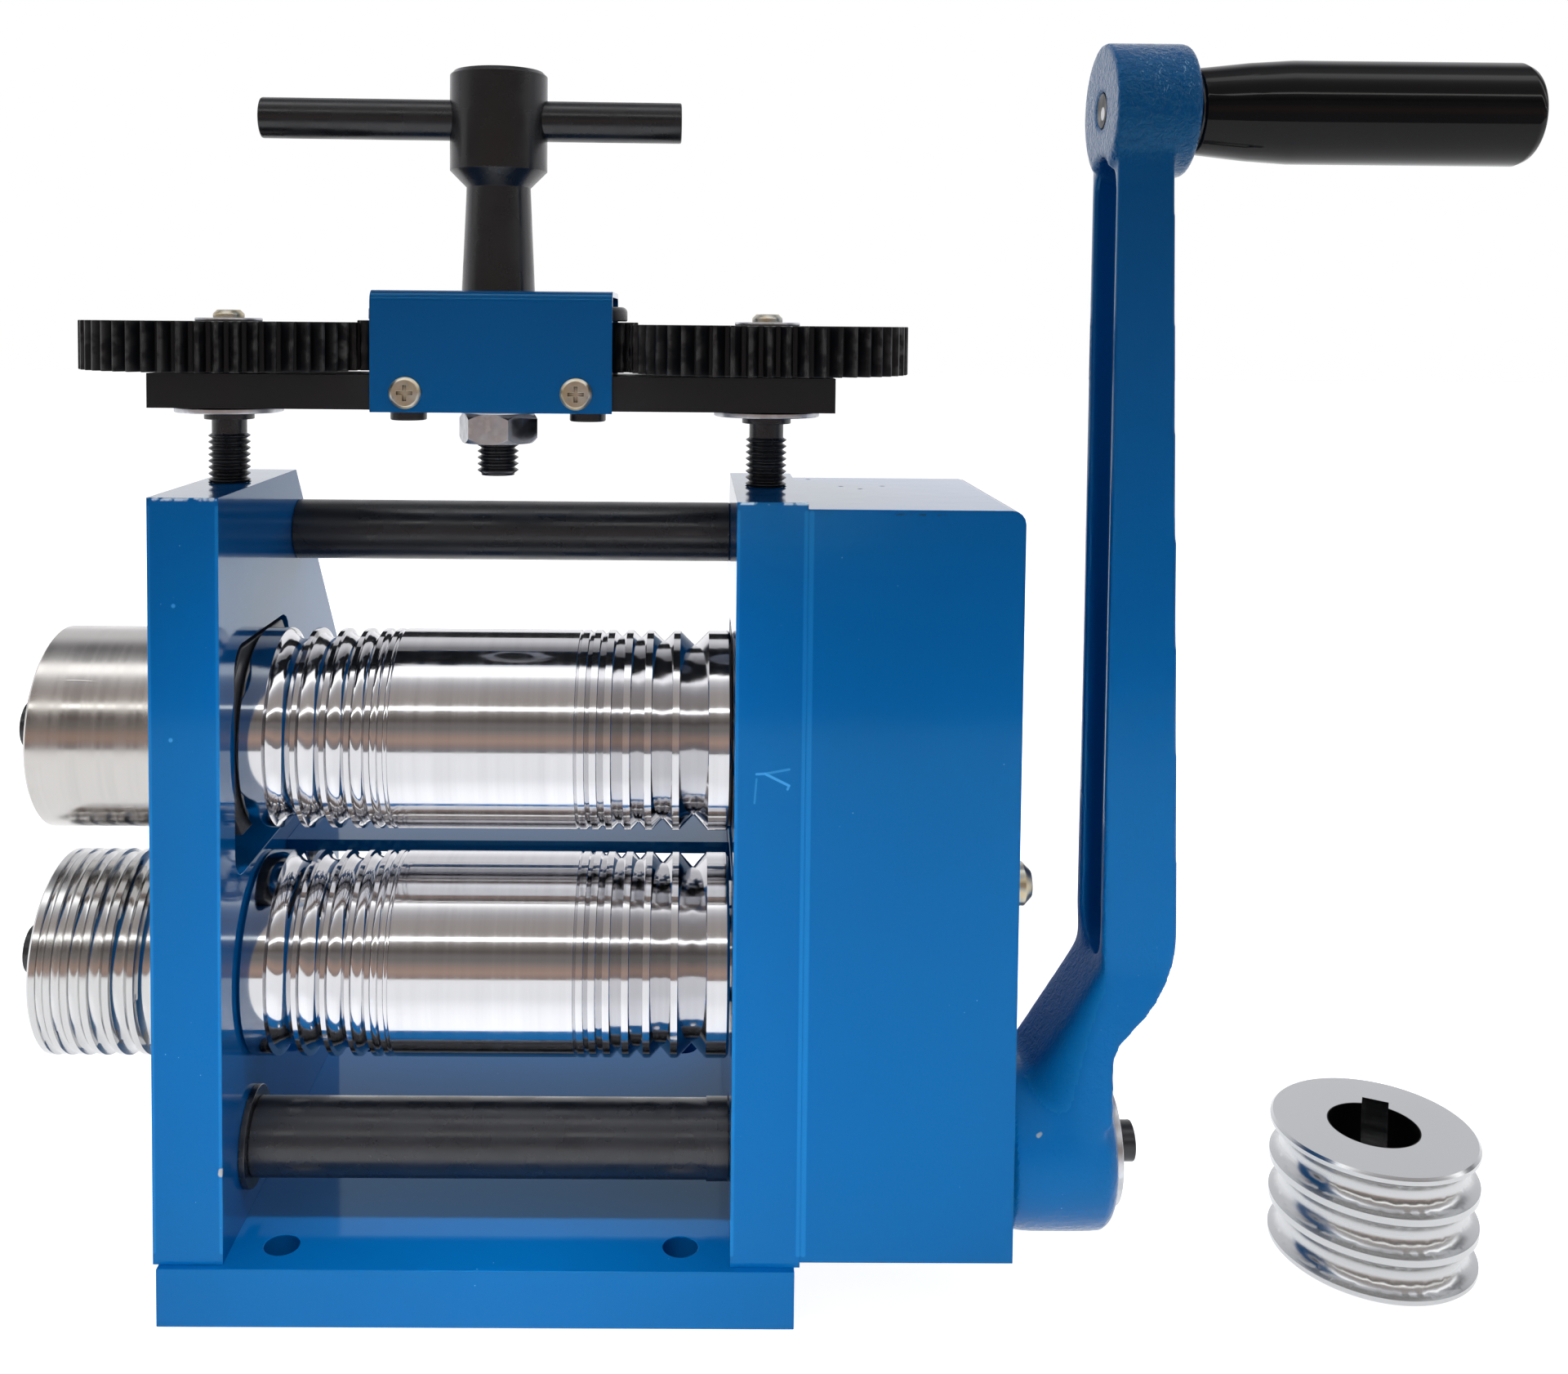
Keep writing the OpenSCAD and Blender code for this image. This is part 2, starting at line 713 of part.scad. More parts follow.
// Bent feed table behind the rolls, with a tab at each end
module feed_table() {
    color(paint) difference() {
        union() {
            translate([-plate_x, front_y + table_back, table_z - table_t])
                cube([gap_w, table_depth, table_t]);
            for (side = [0, 1]) mirror([side, 0, 0])
                translate([plate_x - table_t, front_y + table_back + table_tab_back, table_z - table_tab_h])
                    cube([table_t, table_depth - table_tab_back, table_tab_h - table_t / 2]);
        }
        for (side = [0, 1]) mirror([side, 0, 0]) table_screw_places()
            bar_x(-table_t - over, over, 0, 0, table_screw_d + 2 * seat_gap);
    }
}

module feed_table_screws() {
    color(zinc) for (side = [0, 1]) mirror([side, 0, 0]) table_screw_places()
        on_x(-table_t, 0, 0)
            round_head_screw(table_screw_d, table_screw_l, table_screw_head_d, table_screw_head_h);
}

module lower_roll_bushes() {
    color(bronze) for (side = [0, 1]) mirror([side, 0, 0])
        on_x(plate_x, roll_y, lower_z) ring(bush_d, journal_d + 2 * run_gap, plate_t);
}

// Flanged bushes of the crank shaft: the left flange faces the rolls, the right one the gears
module crank_bushes() {
    color(black) for (x = [-plate_out_x, plate_x]) {
        on_x(x, crank_y, crank_z) ring(crank_bush_d, shaft_journal_d + 2 * run_gap, plate_t);
        on_x(x + plate_t, crank_y, crank_z)
            ring(crank_flange_d, shaft_journal_d + 2 * run_gap, crank_flange_t);
    }
}

// The places of the gear cover's posts on the right side plate's outer face
module post_places() {
    for (y = [front_y + post_inset, front_y + cover_d - post_inset])
        translate([plate_out_x, y, base_t + post_h]) children();
}

// Box in the gear cover's place from an X on, smaller by an inset, with its upper right edge rounded
module cover_box(x0, inset) {
    r = cover_bend_r - inset;
    x1 = cover_out_x - inset;
    low_z = cover_z + inset;
    top_z = cover_z + cover_h - inset;
    translate([0, front_y + cover_d - inset, 0]) rotate([90, 0, 0]) linear_extrude(cover_d - 2 * inset)
        polygon(concat([[x0, top_z], [x0, low_z], [x1, low_z]], corner(x1 - r, top_z - r, r, 0, 1)));
}

// Sheet box over the drive gears, open towards the side plate
module gear_cover() {
    color(paint) difference() {
        cover_box(cover_x, 0);
        cover_box(cover_x - over, cover_t);
        bar_x(cover_out_x - cover_t - over, cover_out_x + over, crank_y, crank_z,
            sleeve_d + 2 * cover_hole_gap);
        post_places() bar_x(cover_w - cover_t - over, cover_w + over, 0, 0, cover_screw_d + 2 * seat_gap);
    }
}

module cover_posts() {
    color(steel) post_places() {
        difference() {
            bar_x(0, cover_w - cover_t, 0, 0, post_d);
            bar_x(cover_w - cover_screw_l - over, cover_w + over, 0, 0, post_hole_d);
        }
        bar_x(-plate_t / 2 + over, 0, 0, 0, cover_screw_d);
    }
}

module cover_screws() {
    color(zinc) post_places() on_x(cover_w, 0, 0) mirror([0, 0, 1])
        round_head_screw(cover_screw_d, cover_screw_l, cover_screw_head_d, cover_screw_head_h);
}

// Bearing blocks that slide in the windows, each with a slot for its screw's hook
module bearing_blocks() {
    color(steel) for (side = [0, 1]) mirror([side, 0, 0]) difference() {
        translate([plate_x, roll_y - window_w / 2 + block_play, upper_z - block_below])
            cube([plate_t, window_w - 2 * block_play, block_h]);
        bar_x(plate_x - over, plate_out_x + over, roll_y, upper_z, bush_d + 2 * seat_gap);
        hook_slot(hook_neck_d, hook_neck_h + over, block_top_z - hook_neck_h);
        hook_slot(hook_button_d, hook_button_h + 2 * side_gap,
            block_top_z - hook_neck_h - hook_button_h - 2 * side_gap);
        block_corner_cuts();
    }
}

// Slot in a bearing block for one part of the hook, open to the back
module hook_slot(d, h, z) {
    w = d + 2 * side_gap;
    translate([screw_x, roll_y, z]) cylinder(d = w, h = h);
    translate([screw_x - w / 2, roll_y, z]) cube([w, window_w / 2, h]);
}

// Chamfers that keep the block's corners clear of the window's round corners
module block_corner_cuts() {
    cut = window_r * sqrt(2);
    for (y = [-1, 1], z = [upper_z - block_below, block_top_z])
        translate([plate_x - over, roll_y + y * (window_w / 2 - block_play), z])
            rotate([45, 0, 0]) translate([0, -cut / 2, -cut / 2]) cube([plate_t + 2 * over, cut, cut]);
}

module block_bushes() {
    color(bronze) for (side = [0, 1]) mirror([side, 0, 0])
        on_x(plate_x, roll_y, upper_z) ring(bush_d, journal_d + 2 * run_gap, plate_t);
}

// Where a run of grooves starts after the grooves before it
function groove_start(widths, land, i) =
    i == 0 ? 0 : groove_start(widths, land, i - 1) + widths[i - 1] + land;

// Half-round groove in an outline of [x, radius] points, from its left edge
function round_groove(x, w, r) = [for (k = [0:groove_arc_steps]) let (a = 180 * k / groove_arc_steps)
    [x + w / 2 - w / 2 * cos(a), r - w * groove_depth_share * sin(a)]];

// Outline of a grooved roll body of radius r that runs from x0 to x1
function roll_body(x0, x1, r) = concat(
    [[x0, r - edge_break], [x0 + edge_break, r]],
    [for (i = [0:len(round_widths) - 1])
        each round_groove(x0 + left_land + groove_start(round_widths, round_land, i), round_widths[i], r)],
    [for (i = [len(square_widths) - 1:-1:0])
        let (w = square_widths[i], x = x1 - right_land - groove_start(square_widths, square_land, i) - w)
        each [[x, r], [x + w / 2, r - w / 2], [x + w, r]]],
    [[x1 - edge_break, r], [x1, r - edge_break]]);

// Solid turned about an axis along X from [x, radius] points
module turned_x(points, y, z) {
    translate([0, y, z]) rotate([0, 90, 0]) rotate_extrude() polygon([for (p = points) [p[1], p[0]]]);
}

// Roll with journals, an end for its gears and an end for an extension roll
module roll(z, gear_end) {
    left_end = ext_end + collar_t;
    difference() {
        turned_x(concat([[left_end, 0], [left_end, stub_d / 2], [ext_x, stub_d / 2], [ext_x, journal_d / 2],
            [-roll_half, journal_d / 2]],
            roll_body(-roll_half, roll_half, roll_d / 2),
            [[roll_half, journal_d / 2], [roll_gear_x, journal_d / 2], [roll_gear_x, stub_d / 2],
                [gear_end, stub_d / 2], [gear_end, 0]]), roll_y, z);
        keyseat_x(roll_gear_x, gear_end + over, roll_y, z, stub_d, key_w);
        keyseat_x(ext_x, left_end - over, roll_y, z, stub_d, key_w);
        bar_x(gear_end + over, gear_end - roll_bolt_l, roll_y, z, roll_bolt_d + 2 * seat_gap);
        bar_x(left_end - over, left_end + roll_bolt_l, roll_y, z, roll_bolt_d + 2 * seat_gap);
    }
}

module upper_roll() {
    color(steel) roll(upper_z, roll_gear_end - collar_t);
}

module lower_roll() {
    color(steel) roll(lower_z, drive_gear_end - collar_t);
}

// Roll gear on its shaft, turned so that the pair is in mesh; its keyway stays at the top
module roll_gear(z, turn) {
    on_x(roll_gear_x, roll_y, z) difference() {
        rotate(turn) long_tooth_gear();
        keyed_bore(stub_d, key_w, roll_gear_w);
    }
}

module upper_roll_gear() {
    color(black) roll_gear(upper_z, 90 + 180 / roll_gear_teeth);
}

module lower_roll_gear() {
    color(black) roll_gear(lower_z, 90);
}

module upper_roll_keys() {
    color(steel) {
        key_x(roll_gear_x, roll_gear_end - collar_t, roll_y, upper_z, stub_d, key_w);
        key_x(ext_x, ext_end + collar_t, roll_y, upper_z, stub_d, key_w);
    }
}

module lower_roll_keys() {
    color(steel) {
        key_x(roll_gear_x, drive_gear_end - collar_t, roll_y, lower_z, stub_d, key_w);
        key_x(ext_x, ext_end + collar_t, roll_y, lower_z, stub_d, key_w);
    }
}

// Extension roll as a turned body with a keyed bore, from its [x, radius] outline
module extension_roll(outline, z) {
    difference() {
        turned_x(concat([[ext_end, 0]], outline, [[ext_x, 0]]), roll_y, z);
        on_x(ext_end, roll_y, z) keyed_bore(stub_d, key_w, ext_l);
    }
}

module upper_extension_roll() {
    r = roll_d / 2;
    color(steel) extension_roll([[ext_end, r - edge_break], [ext_end + edge_break, r],
        [ext_x - edge_break, r], [ext_x, r - edge_break]], upper_z);
}

module lower_extension_roll() {
    r = roll_d / 2;
    color(steel) extension_roll(concat([[ext_end, r - edge_break], [ext_end + edge_break, r]],
        [for (i = [0:len(ext_widths) - 1])
            each round_groove(ext_end + ext_land + edge_break + groove_start(ext_widths, ext_land, i),
                ext_widths[i], r)],
        [[ext_x - edge_break, r], [ext_x, r - edge_break]]), lower_z);
}

// Collar between the roll gear and the drive gear
module lower_roll_collar() {
    color(steel) on_x(roll_gear_end, roll_y, lower_z) difference() {
        cylinder(d = collar_d, h = drive_gear_x - roll_gear_end);
        keyed_bore(stub_d, key_w, drive_gear_x - roll_gear_end);
    }
}

// Drive gear with a gap between teeth turned towards the crank shaft
module drive_gear() {
    color(black) on_x(drive_gear_x, roll_y, lower_z) difference() {
        rotate(drive_angle + 180 + 180 / drive_teeth)
            spur_gear(drive_module, drive_teeth, drive_backlash, drive_gear_w);
        keyed_bore(stub_d, key_w, drive_gear_w);
    }
}

// Washers at the two ends of a roll shaft
module roll_washers(z, gear_end) {
    on_x(ext_end - roll_washer_t, roll_y, z) ring(roll_washer_d, roll_bolt_d + 2 * seat_gap, roll_washer_t);
    on_x(gear_end, roll_y, z) ring(roll_washer_d, roll_bolt_d + 2 * seat_gap, roll_washer_t);
}

// Bolts at the two ends of a roll shaft
module roll_bolts(z, gear_end) {
    on_x(ext_end - roll_washer_t, roll_y, z)
        cap_head_screw(roll_bolt_d, roll_bolt_l, roll_bolt_head_d, roll_bolt_head_h);
    on_x(gear_end + roll_washer_t, roll_y, z) mirror([0, 0, 1])
        cap_head_screw(roll_bolt_d, roll_bolt_l, roll_bolt_head_d, inner_bolt_head_h);
}

module upper_roll_washers() {
    color(zinc) roll_washers(upper_z, roll_gear_end);
}

module upper_roll_bolts() {
    color(black) roll_bolts(upper_z, roll_gear_end);
}

module lower_roll_washers() {
    color(zinc) roll_washers(lower_z, drive_gear_end);
}

module lower_roll_bolts() {
    color(black) roll_bolts(lower_z, drive_gear_end);
}

// Crank shaft: a journal at each side plate, a stout middle and a stepped outer end
module crank_shaft() {
    journal_r = shaft_journal_d / 2;
    mid_x0 = -plate_x + crank_flange_t + side_gap;
    mid_x1 = plate_x - side_gap;
    end_x = hub_out_x - side_gap;
    color(black) difference() {
        turned_x([[-plate_out_x + side_gap, 0], [-plate_out_x + side_gap, journal_r], [mid_x0, journal_r],
            [mid_x0, shaft_d / 2], [mid_x1 - shaft_collar_w, shaft_d / 2],
            [mid_x1 - shaft_collar_w, shaft_collar_d / 2], [mid_x1, shaft_collar_d / 2],
            [mid_x1, journal_r], [pinion_x, journal_r], [pinion_x, shaft_end_d / 2],
            [end_x, shaft_end_d / 2], [end_x, 0]], crank_y, crank_z);
        keyseat_x(pinion_x + crank_key_w / 2, pinion_end, crank_y, crank_z, shaft_end_d, crank_key_w);
        keyseat_x(hub_in_x, end_x + over, crank_y, crank_z, shaft_end_d, crank_key_w);
        bar_x(end_x + over, end_x - crank_bolt_l, crank_y, crank_z, crank_bolt_d + 2 * seat_gap);
    }
}

// Pinion with a tooth turned towards the drive gear
module crank_pinion() {
    color(black) on_x(pinion_x, crank_y, crank_z) difference() {
        rotate(drive_angle) spur_gear(drive_module, pinion_teeth, drive_backlash, pinion_w);
        keyed_bore(shaft_end_d, crank_key_w, pinion_w);
    }
}

module crank_keys() {
    color(steel) {
        key_x(pinion_x + crank_key_w / 2, pinion_end, crank_y, crank_z, shaft_end_d, crank_key_w);
        key_x(hub_in_x, hub_out_x - side_gap, crank_y, crank_z, shaft_end_d, crank_key_w);
    }
}

// Sleeve that keeps the crank off the pinion, through the hole in the gear cover
module crank_sleeve() {
    color(steel) on_x(pinion_end, crank_y, crank_z)
        ring(sleeve_d, shaft_end_d + 2 * seat_gap, hub_in_x - pinion_end);
}

// Side view of the arm in the XZ plane, measured from the crank shaft's axis and the hub's inner face
module arm_side_view() {
    low_out = arm_offset + arm_low_t;
    polygon(concat([for (p = arm_inner_share) [p[0] * arm_offset, p[1] * inner_bend_h]],
        [[arm_offset, crank_r], [arm_offset + arm_top_t, crank_r]],
        [for (p = arm_outer_share) [p[0] * low_out, p[1] * bend_h]]));
}

// Angle on the shaft hub at which the arm's front and back faces touch it
function touch_angle() = let (half = arm_low_w / 2, reach = sqrt(half * half + inner_bend_h * inner_bend_h))
    atan2(inner_bend_h, half) - acos(crank_hub_d / 2 / reach);

// Front view of the arm in the YZ plane, narrower at its top and flaring into the shaft hub
module arm_front_view() {
    foot = crank_hub_d / 2 * cos(touch_angle());
    rise = crank_hub_d / 2 * sin(touch_angle());
    polygon([[-foot, 0], [-foot, rise], [-arm_low_w / 2, inner_bend_h], [-arm_top_w / 2, crank_r],
        [arm_top_w / 2, crank_r], [arm_low_w / 2, inner_bend_h], [foot, rise], [foot, 0]]);
}

// Hub along X with rounded rims, the left rim and the right rim each with its own radius
module round_hub(x0, x1, y, z, d, round0, round1) {
    r = d / 2;
    turned_x(concat([[x0, 0]], corner(x0 + round0, r - round0, round0, 180, -1),
        corner(x1 - round1, r - round1, round1, 90, -1), [[x1, 0]]), y, z);
}

// Flat cuts that round the front edge of the arm's slanting stretch, wider towards the shaft hub
module arm_edge_cuts() {
    rise = (1 - arm_inner_share[2][1]) * inner_bend_h;
    run = (1 - arm_inner_share[2][0]) * arm_offset;
    flare = tan(touch_angle()) * rise;
    translate([arm_in_x, crank_y - arm_low_w / 2, crank_z + inner_bend_h])
        rotate([-atan2(flare, sqrt(rise * rise + run * run)), atan2(run, rise), 0])
            for (turn = arm_edge_turns) rotate([0, 0, turn])
                rotate([0, -atan(arm_edge_share * (sqrt(2) * cos(turn - 45) - 1)), 0])
                    translate([-arm_low_w, -arm_low_w, -2 * inner_bend_h])
                        cube([arm_low_w, 2 * arm_low_w, 2 * inner_bend_h]);
}

// Cast crank arm: two hubs joined by an arm that steps outwards, with a long pocket in its inner face
module crank_arm() {
    hub_face_x = arm_in_x - grip_hub_in;
    color(paint) difference() {
        union() {
            round_hub(hub_in_x, hub_out_x, crank_y, crank_z, crank_hub_d, hub_round_in, hub_round_out);
            round_hub(hub_face_x, hub_face_x + grip_hub_w, crank_y, grip_z, grip_hub_d, grip_hub_round_in,
                grip_hub_round_out);
            difference() {
                intersection() {
                    translate([hub_in_x, crank_y + crank_hub_d, crank_z])
                        rotate([90, 0, 0]) linear_extrude(2 * crank_hub_d) arm_side_view();
                    on_x(hub_in_x, crank_y, crank_z) linear_extrude(arm_offset + arm_low_t) arm_front_view();
                }
                arm_edge_cuts();
            }
        }
        crank_pocket();
        on_x(hub_in_x, crank_y, crank_z) keyed_bore(shaft_end_d, crank_key_w, crank_hub_w);
        bar_x(hub_face_x - over, hub_face_x + grip_hub_w + over, crank_y, grip_z,
            grip_pin_thread_d + 2 * seat_gap);
    }
}

// Long pocket with round ends in the arm's inner face
module crank_pocket() {
    w = arm_top_w - 2 * pocket_wall;
    x0 = arm_in_x - grip_hub_in - over;
    z0 = crank_z + pocket_foot_h + w / 2;
    z1 = grip_z - pocket_top - w / 2;
    bar_x(x0, arm_in_x + pocket_depth, crank_y, z0, w);
    bar_x(x0, arm_in_x + pocket_depth, crank_y, z1, w);
    translate([x0, crank_y - w / 2, z0]) cube([arm_in_x + pocket_depth - x0, w, z1 - z0]);
}

module crank_washer() {
    color(zinc) on_x(hub_out_x, crank_y, crank_z)
        ring(crank_washer_d, crank_bolt_d + 2 * seat_gap, crank_washer_t);
}

module crank_bolt() {
    color(black) on_x(hub_out_x + crank_washer_t, crank_y, crank_z) mirror([0, 0, 1])
        cap_head_screw(crank_bolt_d, crank_bolt_l, crank_bolt_head_d, crank_bolt_head_h);
}

// Spindle screwed into the handle hub: a collar, a plain shank for the grip and a head in its outer end
module grip_spindle() {
    hub_face_x = arm_in_x - grip_hub_in;
    hub_out = hub_face_x + grip_hub_w;
    shank_end = grip_x + grip_bore_l + side_gap;
    color(steel) {
        bar_x(hub_face_x + side_gap, hub_out, crank_y, grip_z, grip_pin_thread_d);
        bar_x(hub_out, grip_x - side_gap, crank_y, grip_z, grip_pin_head_d);
        bar_x(hub_out, shank_end, crank_y, grip_z, grip_pin_d);
        bar_x(shank_end, shank_end + grip_pin_head_h, crank_y, grip_z, grip_pin_head_d);
    }
}

// Grip that turns on its spindle, counterbored from its outer end for the spindle's head
module grip() {
    r = grip_d / 2;
    x1 = grip_x + grip_l;
    chamber_x = grip_x + grip_bore_l;
    color([0.03, 0.03, 0.035]) difference() {
        turned_x([[grip_x, 0], [grip_x, grip_neck_d / 2],
            [grip_x + grip_swell * 0.6, r - (r - grip_neck_d / 2) / 3],
            [grip_x + grip_swell * 1.1, r], [x1 - grip_end_round, r],
            [x1 - grip_end_round * 0.3, r - grip_end_round * 0.3], [x1, r - grip_end_round], [x1, 0]],
            crank_y, grip_z);
        bar_x(grip_x - over, chamber_x + over, crank_y, grip_z, grip_pin_d + 2 * run_gap);
        bar_x(chamber_x, x1 + over, crank_y, grip_z, grip_pin_head_d + 2 * side_gap);
    }
}

// Bar that carries the setting gears and rides on the two pressure screws
module bridge_bar() {
    color(black) difference() {
        translate([-bar_l / 2, bar_front, bar_z]) cube([bar_l, bar_d, bar_t]);
        for (side = [-1, 1]) {
            post(side * screw_x, roll_y, bar_z - over, bar_top_z + over, screw_shank_d + 2 * run_gap);
            post(side * idler_x, roll_y, bar_z - over, bar_top_z + over, idler_screw_d + 2 * seat_gap);
        }
        post(0, roll_y, bar_z - over, bar_top_z + over, spindle_d + 2 * run_gap);
        hood_screw_places() translate([0, 0, -over]) cylinder(d = hood_screw_d + 2 * seat_gap,
            h = hood_screw_l + over);
    }
}

// The places of the small cover's screws on the bar's front and back faces, pointing inwards
module hood_screw_places() {
    for (turn = [0, 180], side = [-1, 1])
        translate([0, roll_y, bar_z + bar_t / 2]) rotate([0, 0, turn])
            translate([side * hood_screw_dx / 2, -bar_d / 2, 0]) rotate([-90, 0, 0]) children();
}

// Section of the small cover in the YZ plane: a sheet with two round bends
module hood_profile() {
    half = bar_d / 2;
    top = bar_z - hood_drop + hood_h;
    bend = hood_bend_r - hood_t;
    y = half - bend;
    z = top - hood_bend_r;
    foot = bar_z - hood_drop;
    translate([roll_y, 0]) polygon(concat(
        [[-half - hood_t, foot]], corner(-y, z, hood_bend_r, 180, -1), corner(y, z, hood_bend_r, 90, -1),
        [[half + hood_t, foot], [half, foot]],
        corner(y, z, bend, 0, 1), corner(-y, z, bend, 90, 1), [[-half, foot]]));
}

// Bent sheet cover over the idlers and the centre gear, open at both ends
module bridge_cover() {
    color(paint) difference() {
        on_x(-hood_w / 2, 0, 0) linear_extrude(hood_w) hood_profile();
        post(0, roll_y, bar_z, bar_z + hood_h + over, stem_foot_d + 2 * hood_hole_gap);
        hood_screw_places() translate([0, 0, -hood_t - over])
            cylinder(d = hood_screw_d + 2 * seat_gap, h = hood_t + 2 * over);
    }
}

module bridge_cover_screws() {
    color(zinc) hood_screw_places() translate([0, 0, -hood_t])
        round_head_screw(hood_screw_d, hood_screw_l, hood_screw_head_d, hood_screw_head_h);
}

// Stud for each idler gear, with a wide head that keeps the gear down
module idler_studs() {
    head_z = gear_z + idler_t + side_gap;
    color(black) for (side = [-1, 1]) difference() {
        union() {
            post(side * idler_x, roll_y, bar_top_z, head_z, stud_d);
            post(side * idler_x, roll_y, bar_top_z, gear_z - side_gap, stud_foot_d);
            post(side * idler_x, roll_y, head_z, head_z + stud_head_h - stud_head_round, stud_head_d);
            translate([side * idler_x, roll_y, head_z + stud_head_h - stud_head_round])
                cylinder(d1 = stud_head_d, d2 = stud_head_d - 2 * stud_head_round, h = stud_head_round);
        }
        post(side * idler_x, roll_y, bar_top_z - over, bar_z + idler_screw_l + over,
            idler_screw_d + 2 * seat_gap);
    }
}

module idler_screws() {
    color(black) for (side = [-1, 1]) translate([side * idler_x, roll_y, bar_z])
        cap_head_screw(idler_screw_d, idler_screw_l, idler_screw_head_d, idler_screw_head_h);
}

module idler_gear(x) {
    translate([x, roll_y, gear_z]) difference() {
        spur_gear(setting_module, idler_teeth, setting_backlash, idler_t);
        translate([0, 0, -over]) cylinder(d = stud_d + 2 * run_gap, h = idler_t + 2 * over);
    }
}

module left_idler_gear() {
    color(black) idler_gear(-idler_x);
}

module right_idler_gear() {
    color(black) idler_gear(idler_x);
}

// Rings of a screw thread on a core, as [radius, z] points from the top down to a length
function thread_outline(d, z, l) = [for (i = [0:floor(l / thread_pitch) - 1]) each [
    [d / 2, z - thread_pitch * (i + 0.3)], [d / 2, z - thread_pitch * (i + 0.42)],
    [d / 2 - thread_depth, z - thread_pitch * (i + 0.82)],
    [d / 2 - thread_depth, z - thread_pitch * (i + 0.94)]]];

// Head, stem and spindle of the T handle, with a hole for the tommy bar
module t_handle() {
    stem_z = gear_z + idler_t;
    neck_z = stem_z + stem_h;
    cone_z = neck_z + head_cone_h;
    top_z = cone_z + head_h;
    nut_z = bar_z - nut_washer_t - nut_h;
    tip_z = bar_z - spindle_end;
    r = spindle_d / 2;
    color(black) difference() {
        translate([0, roll_y, 0]) rotate_extrude() polygon(concat(
            [[0, top_z], [head_d / 2 - head_round, top_z], [head_d / 2, top_z - head_round],
                [head_d / 2, cone_z], [stem_top_d / 2, neck_z], [stem_foot_d / 2, stem_z],
                [r, stem_z], [r, nut_z]],
            thread_outline(spindle_d, nut_z, nut_z - tip_z),
            [[r - thread_depth, tip_z], [0, tip_z]]));
        translate([0, roll_y, cone_z + tommy_h]) rotate([0, 0, tommy_turn]) rotate([0, 90, 0])
            cylinder(d = tommy_d + 2 * seat_gap, h = 2 * head_d, center = true);
        translate([-gear_key_w / 2 - seat_gap, roll_y + r - gear_key_w / 2, gear_z])
            cube([gear_key_w + 2 * seat_gap, gear_key_w, idler_t]);
    }
}

module tommy_bar() {
    cone_z = gear_z + idler_t + stem_h + head_cone_h;
    color(black) translate([0, roll_y, cone_z + tommy_h]) rotate([0, 0, tommy_turn])
        translate([-tommy_shift, 0, 0]) rotate([0, 90, 0])
            cylinder(d = tommy_d, h = tommy_l, center = true);
}

module center_gear() {
    color(black) translate([0, roll_y, gear_z]) difference() {
        spur_gear(setting_module, center_teeth, setting_backlash, idler_t);
        keyed_bore(spindle_d, gear_key_w, idler_t);
    }
}

module center_gear_key() {
    color(steel) translate([-gear_key_w / 2, roll_y + spindle_d / 2 - gear_key_w / 2, gear_z])
        cube([gear_key_w, gear_key_w - seat_gap, idler_t]);
}

// Washers on the spindle above and below the bar
module spindle_washers() {
    color(zinc) {
        translate([0, roll_y, bar_top_z + side_gap])
            ring(thin_washer_d - gear_key_w, spindle_d + 2 * seat_gap, gear_lift - side_gap);
        translate([0, roll_y, bar_z - nut_washer_t])
            ring(nut_washer_d, spindle_d + 2 * seat_gap, nut_washer_t - side_gap);
    }
}

// Hexagon nut with chamfered corners
module spindle_nut() {
    corner_d = nut_af / cos(30);
    chamfer = (corner_d - nut_af) / 2;
    color(zinc) translate([0, roll_y, bar_z - nut_washer_t - nut_h]) difference() {
        intersection() {
            rotate(nut_turn) cylinder(d = corner_d, h = nut_h, $fn = 6);
            union() {
                cylinder(d1 = nut_af, d2 = corner_d, h = chamfer);
                translate([0, 0, chamfer]) cylinder(d = corner_d, h = nut_h - 2 * chamfer);
                translate([0, 0, nut_h - chamfer]) cylinder(d1 = corner_d, d2 = nut_af, h = chamfer);
            }
        }
        translate([0, 0, -over]) cylinder(d = spindle_d + 2 * seat_gap, h = nut_h + 2 * over);
    }
}

// Pressure screw: a shank for its gear, a boss under the bar, the thread and the hook in the block
module pressure_screw(x) {
    boss_z = bar_z - under_washer_t;
    neck_z = boss_z - screw_boss_h;
    thread_z = neck_z - screw_neck_h;
    foot_z = block_top_z + side_gap;
    button_z = block_top_z - hook_neck_h - side_gap;
    r = thread_d / 2;
    translate([x, roll_y, 0]) difference() {
        rotate_extrude() polygon(concat(
            [[0, gear_top_z], [screw_shank_d / 2, gear_top_z], [screw_shank_d / 2, boss_z],
                [screw_boss_d / 2, boss_z], [screw_boss_d / 2, neck_z],
                [screw_neck_d / 2, neck_z], [screw_neck_d / 2, thread_z]],
            thread_outline(thread_d, thread_z, thread_z - foot_z),
            [[r - thread_depth, foot_z], [hook_neck_d / 2, foot_z], [hook_neck_d / 2, button_z],
                [hook_button_d / 2, button_z], [hook_button_d / 2, button_z - hook_button_h],
                [0, button_z - hook_button_h]]));
        translate([-gear_key_w / 2 - seat_gap, screw_shank_d / 2 - gear_key_w / 2, gear_z])
            cube([gear_key_w + 2 * seat_gap, gear_key_w, gear_t + over]);
        translate([0, 0, gear_top_z - cap_screw_l - over])
            cylinder(d = cap_screw_d + 2 * seat_gap, h = cap_screw_l + 2 * over);
    }
}

